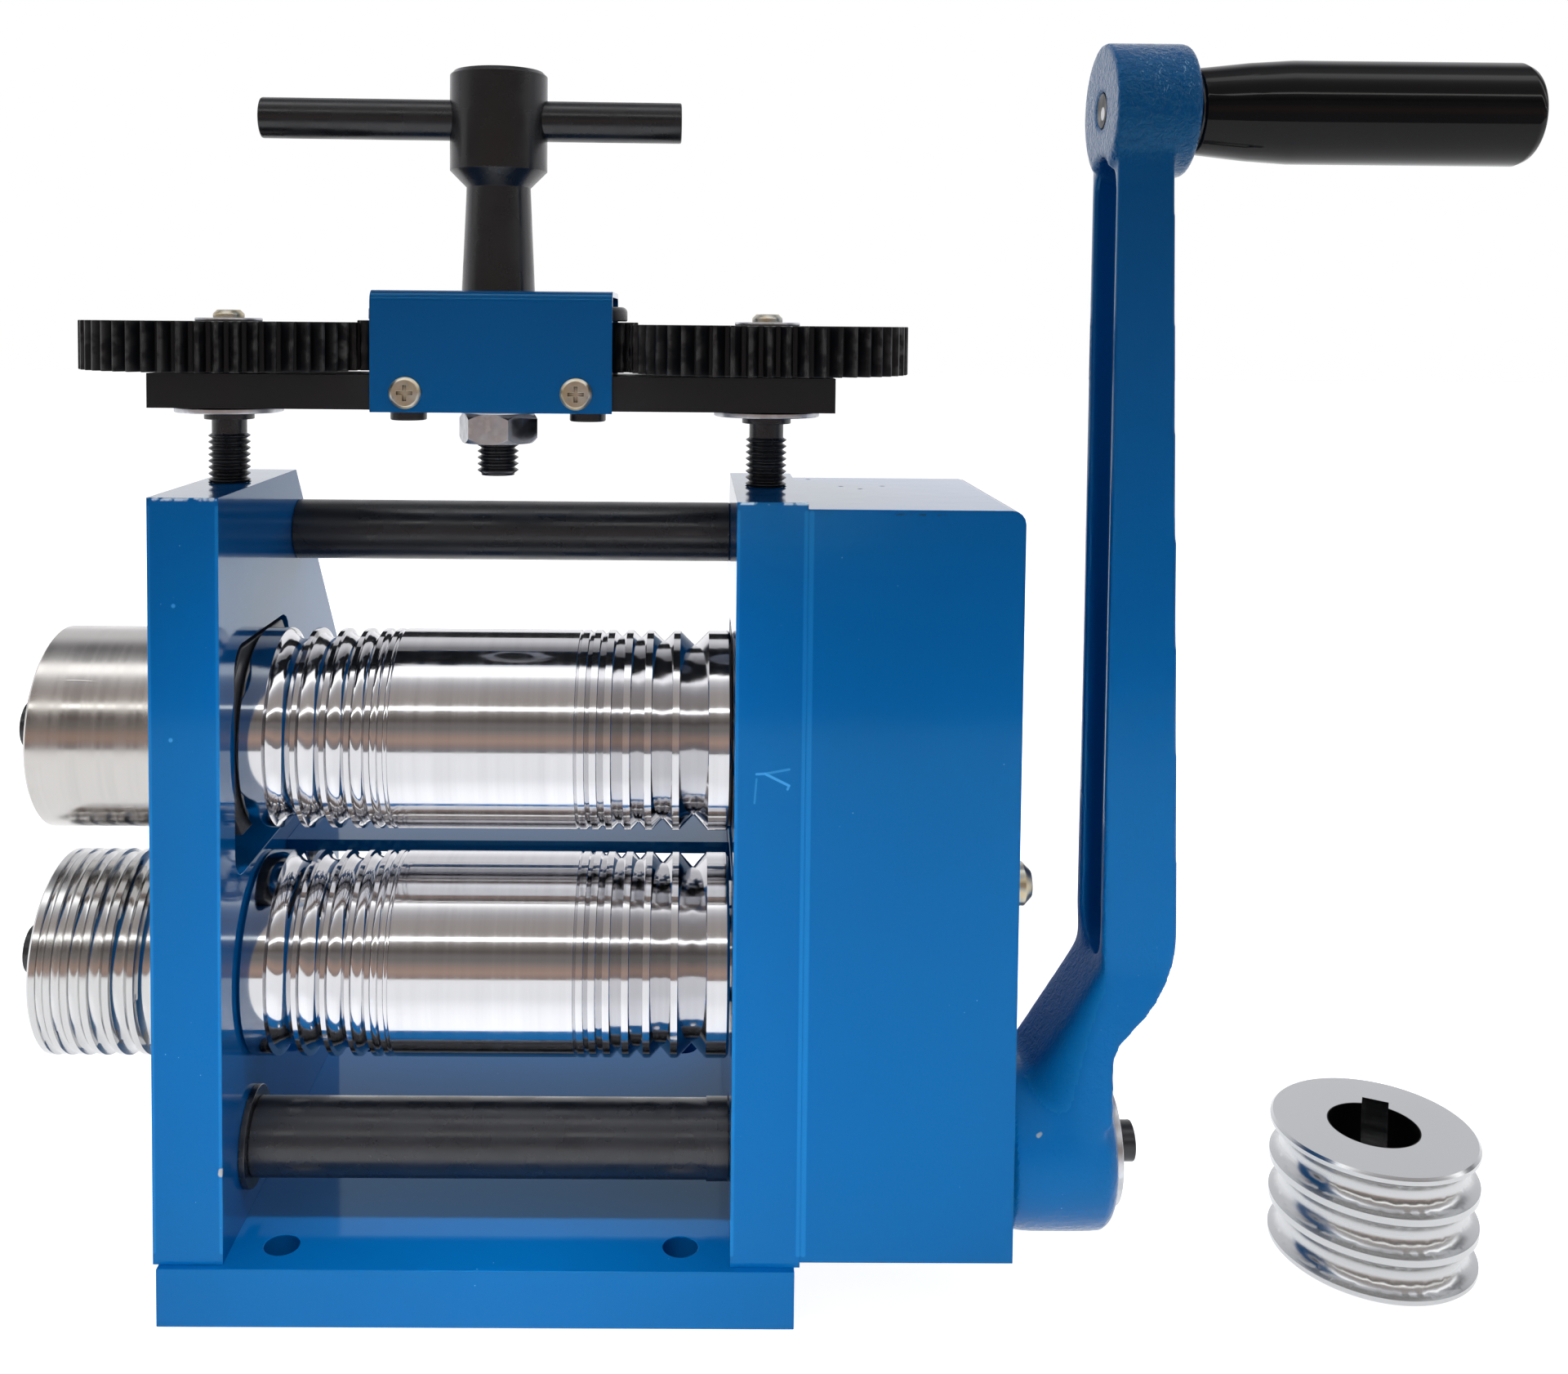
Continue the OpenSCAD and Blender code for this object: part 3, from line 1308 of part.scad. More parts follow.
// Large setting gear with a feather in its bore
module screw_gear(x) {
    translate([x, roll_y, gear_z]) {
        difference() {
            spur_gear(setting_module, outer_teeth, setting_backlash, gear_t);
            translate([0, 0, -over]) cylinder(d = screw_shank_d + 2 * seat_gap, h = gear_t + 2 * over);
        }
        translate([-gear_key_w / 2, screw_shank_d / 2 - gear_key_w / 2, 0])
            cube([gear_key_w, gear_key_w, gear_t]);
    }
}

// Washers on a pressure screw: the wide one under the bar, the thin one below the gear, the cap washer
module screw_washers(x) {
    translate([x, roll_y, bar_z - under_washer_t])
        ring(under_washer_d, screw_shank_d + 2 * seat_gap, under_washer_t - side_gap);
    translate([x, roll_y, bar_top_z + side_gap])
        ring(thin_washer_d, screw_shank_d + 2 * seat_gap, gear_lift - side_gap);
    translate([x, roll_y, gear_top_z]) ring(cap_washer_d, cap_screw_d + 2 * seat_gap, cap_washer_t);
}

module cap_screw(x) {
    translate([x, roll_y, gear_top_z + cap_washer_t]) mirror([0, 0, 1])
        round_head_screw(cap_screw_d, cap_screw_l, cap_screw_head_d, cap_screw_head_h);
}

module left_pressure_screw() {
    color(black) pressure_screw(-screw_x);
}

module left_screw_gear() {
    color(black) screw_gear(-screw_x);
}

module left_screw_washers() {
    color(zinc) screw_washers(-screw_x);
}

module left_cap_screw() {
    color(zinc) cap_screw(-screw_x);
}

module right_pressure_screw() {
    color(black) pressure_screw(screw_x);
}

module right_screw_gear() {
    color(black) screw_gear(screw_x);
}

module right_screw_washers() {
    color(zinc) screw_washers(screw_x);
}

module right_cap_screw() {
    color(zinc) cap_screw(screw_x);
}

// Spare wire roll standing on its end beside the mill
module spare_roll() {
    r = roll_d / 2;
    land = (spare_l - 3 * spare_groove_w) / 4;
    color(steel) translate([spare_x, front_y + spare_back, 0]) difference() {
        rotate_extrude() polygon([for (p = concat(
            [[0, 0], [0, r - edge_break], [edge_break, r]],
            [for (i = [0:2]) each round_groove(land + i * (land + spare_groove_w), spare_groove_w, r)],
            [[spare_l - edge_break, r], [spare_l, r - edge_break], [spare_l, 0]])) [p[1], p[0]]]);
        rotate(spare_key_turn) keyed_bore(stub_d + spare_key_gap, key_w, spare_l);
    }
}

base_plate();
left_side_plate();
right_side_plate();
tie_rod();
tie_rod_screws();
base_screws();
feed_table();
feed_table_screws();
lower_roll_bushes();
crank_bushes();
gear_cover();
cover_posts();
cover_screws();
bearing_blocks();
block_bushes();
upper_roll();
upper_roll_gear();
upper_roll_keys();
upper_extension_roll();
upper_roll_washers();
upper_roll_bolts();
lower_roll();
lower_roll_gear();
drive_gear();
lower_roll_collar();
lower_roll_keys();
lower_extension_roll();
lower_roll_washers();
lower_roll_bolts();
crank_shaft();
crank_pinion();
crank_keys();
crank_sleeve();
crank_arm();
crank_washer();
crank_bolt();
grip_spindle();
grip();
bridge_bar();
bridge_cover();
bridge_cover_screws();
idler_studs();
idler_screws();
left_idler_gear();
right_idler_gear();
t_handle();
tommy_bar();
center_gear();
center_gear_key();
spindle_washers();
spindle_nut();
left_pressure_screw();
left_screw_gear();
left_screw_washers();
left_cap_screw();
right_pressure_screw();
right_screw_gear();
right_screw_washers();
right_cap_screw();
spare_roll();
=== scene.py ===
"""Looks of the hand cranked jewellers' rolling mill: materials, edges, paint marks, studio and camera."""
import math

import bpy
from mathutils import Matrix, Vector


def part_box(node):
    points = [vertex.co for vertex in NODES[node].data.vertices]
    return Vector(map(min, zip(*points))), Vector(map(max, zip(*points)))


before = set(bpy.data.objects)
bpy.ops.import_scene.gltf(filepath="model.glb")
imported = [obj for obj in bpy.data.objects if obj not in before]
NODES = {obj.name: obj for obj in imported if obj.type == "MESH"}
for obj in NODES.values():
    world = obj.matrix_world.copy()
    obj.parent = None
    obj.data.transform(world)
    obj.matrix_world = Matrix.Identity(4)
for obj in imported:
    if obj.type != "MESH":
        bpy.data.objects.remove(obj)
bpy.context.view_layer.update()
MM = 0.001


def box_mm(name):
    """A node's lowest and highest corners in millimetres."""
    lo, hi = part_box(name)
    return lo / MM, hi / MM


def middle(lo, hi):
    return (lo + hi) / 2


# Materials

class Shader:
    """A Principled material with short names for its nodes."""

    def __init__(self, name, color, rough, metal=0.0, **sockets):
        self.material = bpy.data.materials.new(name)
        self.material.use_nodes = True
        self.tree = self.material.node_tree
        self.bsdf = self.tree.nodes["Principled BSDF"]
        self.set("Base Color", (*color, 1.0))
        self.set("Roughness", rough)
        self.set("Metallic", metal)
        for key, value in sockets.items():
            self.set(key.replace("_", " "), value)
        self.coords = self.node("ShaderNodeTexCoord").outputs["Object"]
        self.normal = None

    def set(self, socket, value):
        self.bsdf.inputs[socket].default_value = value

    def node(self, kind, **settings):
        made = self.tree.nodes.new(kind)
        for key, value in settings.items():
            setattr(made, key, value)
        return made

    def link(self, a, b):
        self.tree.links.new(a, b)

    def mapped(self, scale=(1, 1, 1), turn=(0, 0, 0), move=(0, 0, 0)):
        made = self.node("ShaderNodeMapping")
        made.inputs["Scale"].default_value = scale
        made.inputs["Rotation"].default_value = turn
        made.inputs["Location"].default_value = move
        self.link(self.coords, made.inputs["Vector"])
        return made.outputs["Vector"]

    def noise(self, scale, detail=3.0, rough=0.5, vector=None, distortion=0.0):
        made = self.node("ShaderNodeTexNoise")
        made.inputs["Scale"].default_value = scale
        made.inputs["Detail"].default_value = detail
        made.inputs["Roughness"].default_value = rough
        made.inputs["Distortion"].default_value = distortion
        self.link(vector or self.coords, made.inputs["Vector"])
        return made.outputs["Fac"]

    def cells(self, scale):
        made = self.node("ShaderNodeTexVoronoi", feature="F1")
        made.inputs["Scale"].default_value = scale
        self.link(self.coords, made.inputs["Vector"])
        return made.outputs["Distance"]

    def span(self, value, low, high, to_low=0.0, to_high=1.0):
        """Smooth step of a value from one range to another."""
        made = self.node("ShaderNodeMapRange", interpolation_type="SMOOTHSTEP")
        self.link(value, made.inputs["Value"])
        made.inputs["From Min"].default_value = low
        made.inputs["From Max"].default_value = high
        made.inputs["To Min"].default_value = to_low
        made.inputs["To Max"].default_value = to_high
        return made.outputs["Result"]

    def math(self, operation, a, b=None):
        made = self.node("ShaderNodeMath", operation=operation)
        for socket, value in zip(made.inputs, (a, b)):
            if value is None:
                continue
            if isinstance(value, (int, float)):
                socket.default_value = value
            else:
                self.link(value, socket)
        return made.outputs[0]

    def times(self, *values):
        """Product of masks and shares."""
        made = values[0]
        for value in values[1:]:
            made = self.math("MULTIPLY", made, value)
        return made

    def mix(self, factor, a, b):
        made = self.node("ShaderNodeMix", data_type="RGBA")
        self.link(factor, made.inputs["Factor"])
        for socket, value in ((made.inputs[6], a), (made.inputs[7], b)):
            if isinstance(value, tuple):
                socket.default_value = (*value, 1.0)
            else:
                self.link(value, socket)
        return made.outputs[2]

    def color(self, value):
        self.link(value, self.bsdf.inputs["Base Color"])

    def rough(self, value):
        self.link(value, self.bsdf.inputs["Roughness"])

    def bump(self, height, strength, distance_mm):
        made = self.node("ShaderNodeBump")
        made.inputs["Strength"].default_value = strength
        made.inputs["Distance"].default_value = distance_mm * MM
        self.link(height, made.inputs["Height"])
        if self.normal is not None:
            self.link(self.normal, made.inputs["Normal"])
        self.normal = made.outputs["Normal"]
        self.link(self.normal, self.bsdf.inputs["Normal"])

    def axis(self, which):
        made = self.node("ShaderNodeSeparateXYZ")
        self.link(self.coords, made.inputs[0])
        return made.outputs[which]

    def vector(self, operation, a, b=None, scale=None):
        made = self.node("ShaderNodeVectorMath", operation=operation)
        for socket, value in zip(made.inputs, (a, b)):
            if isinstance(value, Vector):
                socket.default_value = value
            elif value is not None:
                self.link(value, socket)
        if scale is not None:
            self.link(scale, made.inputs["Scale"])
        return made

    def radius(self, axis, centre):
        """Distance from an axis along X or Z through a point."""
        moved = self.vector("SUBTRACT", self.coords, Vector(centre)).outputs[0]
        across = Vector((0, 1, 1)) if axis == "X" else Vector((1, 1, 0))
        flat = self.vector("MULTIPLY", moved, across).outputs[0]
        return self.vector("LENGTH", flat).outputs["Value"]

    def stroke(self, a, b, width_mm, share=1.0):
        """Mask of a line from a to b in millimetres, fading out from half its width; a dot where a is b."""
        along = (Vector(b) - Vector(a)) * MM
        moved = self.vector("SUBTRACT", self.coords, Vector(a) * MM).outputs[0]
        part = self.vector("DOT_PRODUCT", moved, along / max(along.length_squared, 1e-12)).outputs["Value"]
        part = self.math("MINIMUM", self.math("MAXIMUM", part, 0.0), 1.0)
        nearest = self.vector("SCALE", along, scale=part).outputs[0]
        far = self.vector("LENGTH", self.vector("SUBTRACT", moved, nearest).outputs[0])
        return self.span(far.outputs["Value"], width_mm * MM / 2, width_mm * MM, share, 0.0)

    def strokes(self, rows):
        value = self.stroke(*rows[0])
        for row in rows[1:]:
            value = self.math("MAXIMUM", value, self.stroke(*row))
        return value


BLUE_DARK = (0.0003, 0.103, 0.348)
BLUE = (0.0005, 0.117, 0.382)
BLUE_LIGHT = (0.0008, 0.131, 0.416)

# Marks in the paint and painted edge highlights, each a line or a dot from one point to another in mm, its
# width in mm and its strength
FRONT_Y = -55
COVER_TOP = 181.8


def on_front(*rows):
    """Marks on the front of the plates and the cover, from x and z to x and z."""
    return [((x0, FRONT_Y, z0), (x1, FRONT_Y, z1), *rest) for x0, z0, x1, z1, *rest in rows]


# Top front edges of the plates: partly paint worn off in chips, partly a painted highlight along the edge
def chipped_and_highlit(x0, x1, width):
    return (x0, FRONT_Y + 0.1, 183.1), (x1, FRONT_Y + 0.1, 183.1), width


# Painted highlights: lighter blue lines along the front vertical edges of the plates and the cover
PAINTED_EDGE_HIGHLIGHTS = on_front(*((x, 16, x, 181, 0.7, 0.55) for x in (-71.3, -56.2, 56.2, 71.1, 72.2)))
SCRATCHES = on_front((60.8, 123.7, 62.65, 123.8, 0.35, 0.8), (62.65, 123.8, 67.9, 121.2, 0.38, 0.9),
                     (62.65, 123.8, 67.9, 124.8, 0.35, 0.45), (67.9, 121.2, 67.6, 120.4, 0.35, 0.7),
                     (60.8, 122.6, 60.4, 117.3, 0.3, 0.35), (-65.8, 159.7, -65.8, 159.7, 0.6, 0.7),
                     (-66.6, 130.3, -66.6, 130.3, 0.6, 0.7))
CHIPPED_AND_HIGHLIT_EDGES = [chipped_and_highlit(-71.2, -56.2, 0.8), chipped_and_highlit(56.2, 71.2, 0.6)]
NICKS = on_front((-56.2, 34.3, -56.3, 33.6, 0.8)) + [((125.3, -49.0, 40.0), (125.9, -49.0, 40.5), 0.6, 0.8)]
COVER_SPECKS = [((x, y, COVER_TOP), (x, y, COVER_TOP), 0.8, 0.8)
                for x, y in ((76.1, 8.4), (83, -7.9), (87.2, -13.2), (93.4, -6.6))]
COVER_LINE = on_front((89.1, 180.9, 101.5, 180.7, 0.35, 0.8))

# Where the cast arm's zones begin and are full, in metres: heights, and X on the grip's hub for the painted
# glints
GRIP_HUB = (0.254, 0.262)
SLANT_TOP = (0.115, 0.105)
FOOT_TOP = (0.088, 0.070)
GLINTS_FROM = (0.270, 0.276)
GLINTS_RIGHT_OF = (0.1425, 0.1445)


def blue_paint(name, cast=0.0):
    """Gloss machine enamel: tone drift, orange peel, dust specks and marks with painted edge highlights, on a
    rough casting with painted glints if asked.
    """
    s = Shader(name, BLUE, 0.08, IOR=1.45, Specular_IOR_Level=0.5, Specular_Tint=(0.30, 0.85, 1.0, 1.0))
    tone = s.mix(s.noise(14, 3), BLUE_DARK, BLUE_LIGHT)
    dust = s.times(s.span(s.cells(330), 0.035, 0.055, 1.0, 0.0), s.span(s.noise(60, 2), 0.58, 0.7))
    tone = s.mix(dust, tone, (0.10, 0.28, 0.60))
    broken = s.span(s.noise(520, 2), 0.42, 0.58)
    # Painted highlights along the front vertical edges, in a lighter blue
    tone = s.mix(s.strokes(PAINTED_EDGE_HIGHLIGHTS), tone, (0.012, 0.22, 0.60))
    tone = s.mix(s.strokes(SCRATCHES), tone, (0.06, 0.36, 0.78))
    # Pale broken line on the plates' top front edges: partly chips in the paint, partly a painted highlight
    tone = s.mix(s.times(s.strokes(CHIPPED_AND_HIGHLIT_EDGES), broken), tone, (0.62, 0.76, 0.92))
    tone = s.mix(s.strokes(NICKS), tone, (0.42, 0.43, 0.42))
    dull = s.math("MAXIMUM", s.strokes(COVER_SPECKS), s.times(s.strokes(COVER_LINE), broken))
    tone = s.mix(dull, tone, (0.004, 0.02, 0.07))
    roughness = s.math("ADD", s.times(dull, 0.6), 0.08)
    s.bump(s.noise(420, 2, 0.4), 0.06, 0.08)
    s.bump(s.noise(60, 2), 0.10, 0.4)
    s.bump(dust, 0.3, 0.12)
    if cast:
        # Pitted skin on the grip's hub and on the slanted foot, nearly smooth along the blade
        z = s.axis("Z")
        sides = s.node("ShaderNodeSeparateXYZ")
        s.link(s.node("ShaderNodeNewGeometry").outputs["True Normal"], sides.inputs[0])
        slanted = s.times(s.span(z, *SLANT_TOP), s.span(sides.outputs[0], -0.25, -0.5))
        foot = s.times(s.span(z, *FOOT_TOP), 0.35)
        zone = s.math("MAXIMUM", s.math("MAXIMUM", s.span(z, *GRIP_HUB), slanted), foot)
        # The slanted face is duller and darker, and the hub's round glints are painted highlights, laid into
        # the colour in small flecks
        tone = s.mix(s.times(slanted, 0.6), tone, (0.0005, 0.12, 0.36))
        roughness = s.math("ADD", roughness, s.times(slanted, 0.42))
        flecks = s.noise(1.0, 3, 0.6, s.mapped((1500, 1100, 700)), distortion=1.2)
        glints = s.times(s.span(flecks, 0.60, 0.66), s.span(s.noise(190, 2), 0.40, 0.50),
                         s.span(z, *GLINTS_FROM), s.span(sides.outputs[0], -0.6, -0.3),
                         s.span(s.axis("X"), *GLINTS_RIGHT_OF), 0.75)
        # Painted highlights: pale blue glints mixed into the hub's colour
        tone = s.mix(glints, tone, (0.36, 0.64, 0.90))
        skin = s.noise(620, 4, 0.6, distortion=0.8)
        s.bump(s.times(skin, s.math("ADD", s.times(zone, 0.95), 0.05)), cast, 0.9)
        s.bump(s.noise(110, 3), 0.15, 1.0)
    s.color(tone)
    s.rough(roughness)
    return s.material


def lines_across(axis, dense, loose):
    """Texture scale that draws fine rings round an axis along X or Z."""
    return (dense, loose, loose) if axis == "X" else (loose, loose, dense)


def turned_steel(name, color, rough, lines, centre=None, axis="X", stain=0.0, scratches=0.0, bore_mm=0.0):
    """Turned or ground steel: fine lines round the axis, rings on the ends, faint stains and scratches, and
    painted shade in a bore where one is given.
    """
    s = Shader(name, color, rough, 1.0)
    fine = s.noise(1.0, 4, 0.7, s.mapped(lines_across(axis, 2600, 9)))
    coarse = s.noise(1.0, 3, 0.6, s.mapped(lines_across(axis, 416, 9)))
    tone = s.mix(coarse, tuple(c * 0.86 for c in color), tuple(min(1, c * 1.06) for c in color))
    if stain:
        tone = s.mix(s.span(s.noise(75, 5, 0.65), 0.60, 0.78, 0.0, stain), tone, (0.20, 0.17, 0.14))
    roughness = s.math("ADD", s.span(coarse, 0.3, 0.7, rough * 0.7, rough * 1.25),
                       s.times(s.noise(45), rough * 0.3))
    s.bump(fine, lines, 0.02)
    if centre is not None:
        r = s.radius(axis, centre)
        rings = s.node("ShaderNodeCombineXYZ")
        s.link(s.times(r, 2400), rings.inputs[0])
        s.bump(s.noise(1.0, 3, 0.7, rings.outputs[0]), lines * 1.2, 0.03)
        if bore_mm:
            # Painted shade: the bore's wall is near black and duller
            bore_shade = s.span(r, bore_mm * MM, (bore_mm + 0.15) * MM, 1.0, 0.0)
            tone = s.mix(bore_shade, tone, (0.012, 0.012, 0.013))
            roughness = s.math("MAXIMUM", roughness, s.times(bore_shade, 0.5))
    s.color(tone)
    s.rough(roughness)
    if scratches:
        for turn, scale in (((0.5, 0.2, 0.62), (30, 900, 30)), ((1.1, 0.7, -0.4), (40, 700, 40))):
            line = s.noise(1.0, 2, 0.5, s.mapped(scale, turn))
            s.bump(s.times(s.span(line, 0.70, 0.73), s.span(s.noise(55, 2), 0.5, 0.62)), scratches, 0.05)
    return s.material


def black_steel(name, level, rough, machined=0.0, wear=0.0, axis="X", edges=0.0, gleam=0.6, dust=0.3):
    """Blackened steel with an oily sheen, mottling, light dust, optional tool marks and bright sharp edges,
    partly wear and partly a painted highlight.
    """
    s = Shader(name, (level,) * 3, rough, 0.0, IOR=1.5, Specular_IOR_Level=gleam)
    tone = s.mix(s.noise(70, 5, 0.6), (level * 0.55, level * 0.6, level * 0.75),
                 (level * 1.5, level * 1.65, level * 2.1))
    tone = s.mix(s.span(s.noise(900, 2), 0.68, 0.80, 0.0, dust), tone, (0.07, 0.07, 0.075))
    if wear:
        tone = s.mix(s.span(s.noise(260, 4, 0.7), 0.60, 0.72, 0.0, wear), tone, (0.30, 0.29, 0.28))
    if edges:
        # Bright sharp edges: partly worn steel, partly a painted highlight
        bent = s.node("ShaderNodeNewGeometry").outputs["Pointiness"]
        mask = s.times(s.span(bent, 0.55, 0.64), s.span(s.noise(300, 2, 0.5), 0.40, 0.60), edges)
        tone = s.mix(mask, tone, (0.34, 0.33, 0.32))
    s.color(tone)
    s.rough(s.span(s.noise(120, 4), 0.25, 0.75, rough * 0.75, rough * 1.3))
    s.bump(s.noise(1400, 3), 0.16, 0.05)
    if machined:
        s.bump(s.noise(1.0, 3, 0.6, s.mapped(lines_across(axis, 1900, 14))), machined, 0.05)
    return s.material


def zinc_plate(name, pale=(0.66, 0.64, 0.57), deep=(0.60, 0.52, 0.36), patch=(0.50, 0.52, 0.47)):
    """Zinc plate in soft patches, straw and pale green or clear and bluish, with painted shade down in the
    recesses.
    """
    s = Shader(name, pale, 0.34, 1.0)
    tone = s.mix(s.span(s.noise(240, 3), 0.35, 0.65), pale, deep)
    tone = s.mix(s.span(s.noise(330, 2, 0.5, s.mapped(move=(3, 1, 2))), 0.56, 0.7), tone, patch)
    # Painted shade: the colour goes dark where the surface is hemmed in, as in the screw heads' crosses
    recess_shade = s.node("ShaderNodeAmbientOcclusion", samples=8, only_local=True)
    recess_shade.inputs["Distance"].default_value = 1.2 * MM
    s.color(s.mix(s.span(recess_shade.outputs["AO"], 0.35, 0.75), (0.07, 0.055, 0.035), tone))
    s.rough(s.span(s.noise(500, 3), 0.3, 0.7, 0.28, 0.42))
    s.bump(s.noise(2200, 2), 0.08, 0.02)
    return s.material


def bronze():
    """Machined bronze in slightly uneven tones."""
    s = Shader("bronze", (0.48, 0.33, 0.15), 0.32, 1.0)
    s.color(s.mix(s.noise(300, 4), (0.36, 0.23, 0.09), (0.58, 0.42, 0.20)))
    s.bump(s.noise(1500, 3), 0.25, 0.04)
    return s.material


def spindle_end():
    """Turned steel with its end painted dark as shade down in the hub's hole, round a bright centre set a
    little to the front.
    """
    lo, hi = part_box("grip_spindle")
    centre = middle(lo, hi) - Vector((0, 1.0, 0.8)) * MM
    s = Shader("spindle_steel", (0.60, 0.60, 0.61), 0.30, 1.0)
    # Painted shade on the spindle's end, where it sits down in the hub's hole
    end = s.times(s.span(s.axis("X"), lo.x + 1.0 * MM, lo.x + 1.5 * MM, 1.0, 0.0),
                  s.span(s.radius("X", centre), 1.3 * MM, 1.7 * MM))
    s.color(s.mix(end, s.mix(s.noise(75, 4), (0.54, 0.54, 0.55), (0.64, 0.64, 0.65)), (0.010, 0.010, 0.012)))
    s.rough(s.span(s.noise(300, 3), 0.3, 0.7, 0.25, 0.42))
    s.bump(s.noise(900, 3), 0.2, 0.1)
    return s.material


def grip_plastic():
    """Gloss black moulding with faint flow marks and dust."""
    s = Shader("black_grip", (0.004, 0.004, 0.005), 0.06, IOR=1.3, Specular_IOR_Level=0.5)
    tone = s.mix(s.noise(60, 3), (0.002, 0.002, 0.0025), (0.010, 0.010, 0.012))
    s.color(s.mix(s.span(s.cells(700), 0.02, 0.035, 0.35, 0.0), tone, (0.10, 0.10, 0.10)))
    s.rough(s.span(s.noise(90, 3), 0.3, 0.7, 0.04, 0.09))
    s.bump(s.noise(1.0, 2, 0.5, s.mapped((60, 400, 400))), 0.05, 0.06)
    s.bump(s.noise(30, 2), 0.05, 0.6)
    return s.material


PAINT = blue_paint("blue_paint")
CAST = blue_paint("blue_cast_paint", cast=0.75)
ROLL = turned_steel("roll_steel", (0.70, 0.70, 0.72), 0.085, 0.05, stain=0.10)
BRUSHED = turned_steel("brushed_roll_steel", (0.62, 0.60, 0.58), 0.17, 0.25,
                       middle(*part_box("upper_extension_roll")), stain=0.12, scratches=0.5)
GROOVED = turned_steel("grooved_roll_steel", (0.66, 0.66, 0.66), 0.14, 0.2, middle(*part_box("lower_roll")),
                       stain=0.08)
SPARE = turned_steel("spare_roll_steel", (0.62, 0.63, 0.64), 0.20, 0.30, middle(*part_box("spare_roll")),
                     axis="Z", bore_mm=10.4)
MACHINED = turned_steel("machined_steel", (0.60, 0.60, 0.61), 0.30, 0.30, stain=0.15)
BLOCK = black_steel("block_steel", 0.030, 0.42, machined=0.3, wear=0.25)
OXIDE = black_steel("black_oxide", 0.012, 0.28, machined=0.2)
OXIDE_UP = black_steel("black_oxide_upright", 0.010, 0.26, machined=0.2, axis="Z")
GEAR = black_steel("gear_steel", 0.005, 0.38, axis="Z", edges=0.26, gleam=0.3, dust=0.05)
BAR = black_steel("bar_steel", 0.006, 0.42, gleam=0.45, dust=0.1)
ZINC = zinc_plate("zinc_plate")
SILVER = zinc_plate("clear_zinc", (0.66, 0.67, 0.70), (0.56, 0.57, 0.60), (0.72, 0.74, 0.78))
BRONZE = bronze()
GRIP = grip_plastic()
SPINDLE = spindle_end()

# Material, edge width in mm and bevel steps for each CAD node
DRESS = {
    "base_plate": (PAINT, 0.7, 3), "left_side_plate": (PAINT, 0.8, 3), "right_side_plate": (PAINT, 0.8, 3),
    "gear_cover": (PAINT, 0.7, 3), "bridge_cover": (PAINT, 0.55, 3), "feed_table": (PAINT, 0.5, 2),
    "tie_rod": (OXIDE, 0.3, 2), "tie_rod_screws": (OXIDE, 0.3, 2), "base_screws": (ZINC, 0.2, 1),
    "feed_table_screws": (ZINC, 0.2, 2), "lower_roll_bushes": (BRONZE, 0.2, 1),
    "crank_bushes": (OXIDE, 0.2, 2), "cover_posts": (MACHINED, 0.2, 1), "cover_screws": (ZINC, 0.3, 2),
    "bearing_blocks": (BLOCK, 0.4, 2), "block_bushes": (BRONZE, 0.2, 1), "upper_roll": (ROLL, 0.0, 0),
    "upper_roll_gear": (GEAR, 0.2, 2), "upper_roll_keys": (MACHINED, 0.2, 1),
    "upper_extension_roll": (BRUSHED, 0.0, 0), "upper_roll_washers": (ZINC, 0.2, 2),
    "upper_roll_bolts": (OXIDE, 0.3, 2), "lower_roll": (ROLL, 0.0, 0), "lower_roll_gear": (GEAR, 0.2, 2),
    "drive_gear": (GEAR, 0.15, 1), "lower_roll_collar": (MACHINED, 0.2, 1),
    "lower_roll_keys": (MACHINED, 0.2, 1), "lower_extension_roll": (GROOVED, 0.0, 0),
    "lower_roll_washers": (ZINC, 0.2, 2), "lower_roll_bolts": (OXIDE, 0.3, 2), "crank_shaft": (OXIDE, 0.3, 2),
    "crank_pinion": (GEAR, 0.15, 1), "crank_keys": (MACHINED, 0.2, 1), "crank_sleeve": (MACHINED, 0.2, 1),
    "crank_washer": (SILVER, 0.3, 2), "crank_bolt": (OXIDE, 0.3, 2), "grip_spindle": (SPINDLE, 0.2, 1),
    "grip": (GRIP, 0.6, 3), "bridge_bar": (BAR, 0.3, 2), "bridge_cover_screws": (ZINC, 0.2, 2),
    "idler_studs": (OXIDE_UP, 0.3, 2), "idler_screws": (OXIDE_UP, 0.3, 2), "left_idler_gear": (GEAR, 0.15, 1),
    "right_idler_gear": (GEAR, 0.15, 1), "t_handle": (OXIDE_UP, 0.3, 2), "tommy_bar": (OXIDE, 0.4, 2),
    "center_gear": (GEAR, 0.15, 1), "center_gear_key": (MACHINED, 0.2, 1),
    "spindle_washers": (SILVER, 0.2, 2), "spindle_nut": (SILVER, 0.25, 2),
    "left_pressure_screw": (OXIDE_UP, 0.1, 1), "right_pressure_screw": (OXIDE_UP, 0.1, 1),
    "left_screw_gear": (GEAR, 0.15, 1), "right_screw_gear": (GEAR, 0.15, 1),
    "left_screw_washers": (SILVER, 0.2, 2), "right_screw_washers": (SILVER, 0.2, 2),
    "left_cap_screw": (ZINC, 0.2, 2), "right_cap_screw": (ZINC, 0.2, 2), "spare_roll": (SPARE, 0.0, 0),
}
SHARP_ANGLE = math.radians(32)
FLAT_ANGLE = math.radians(0.3)
WELD_WITHIN = 1e-6


def paint_over(name, material):
    piece = NODES[name]
    piece.data.materials.clear()
    piece.data.materials.append(material)
    return piece


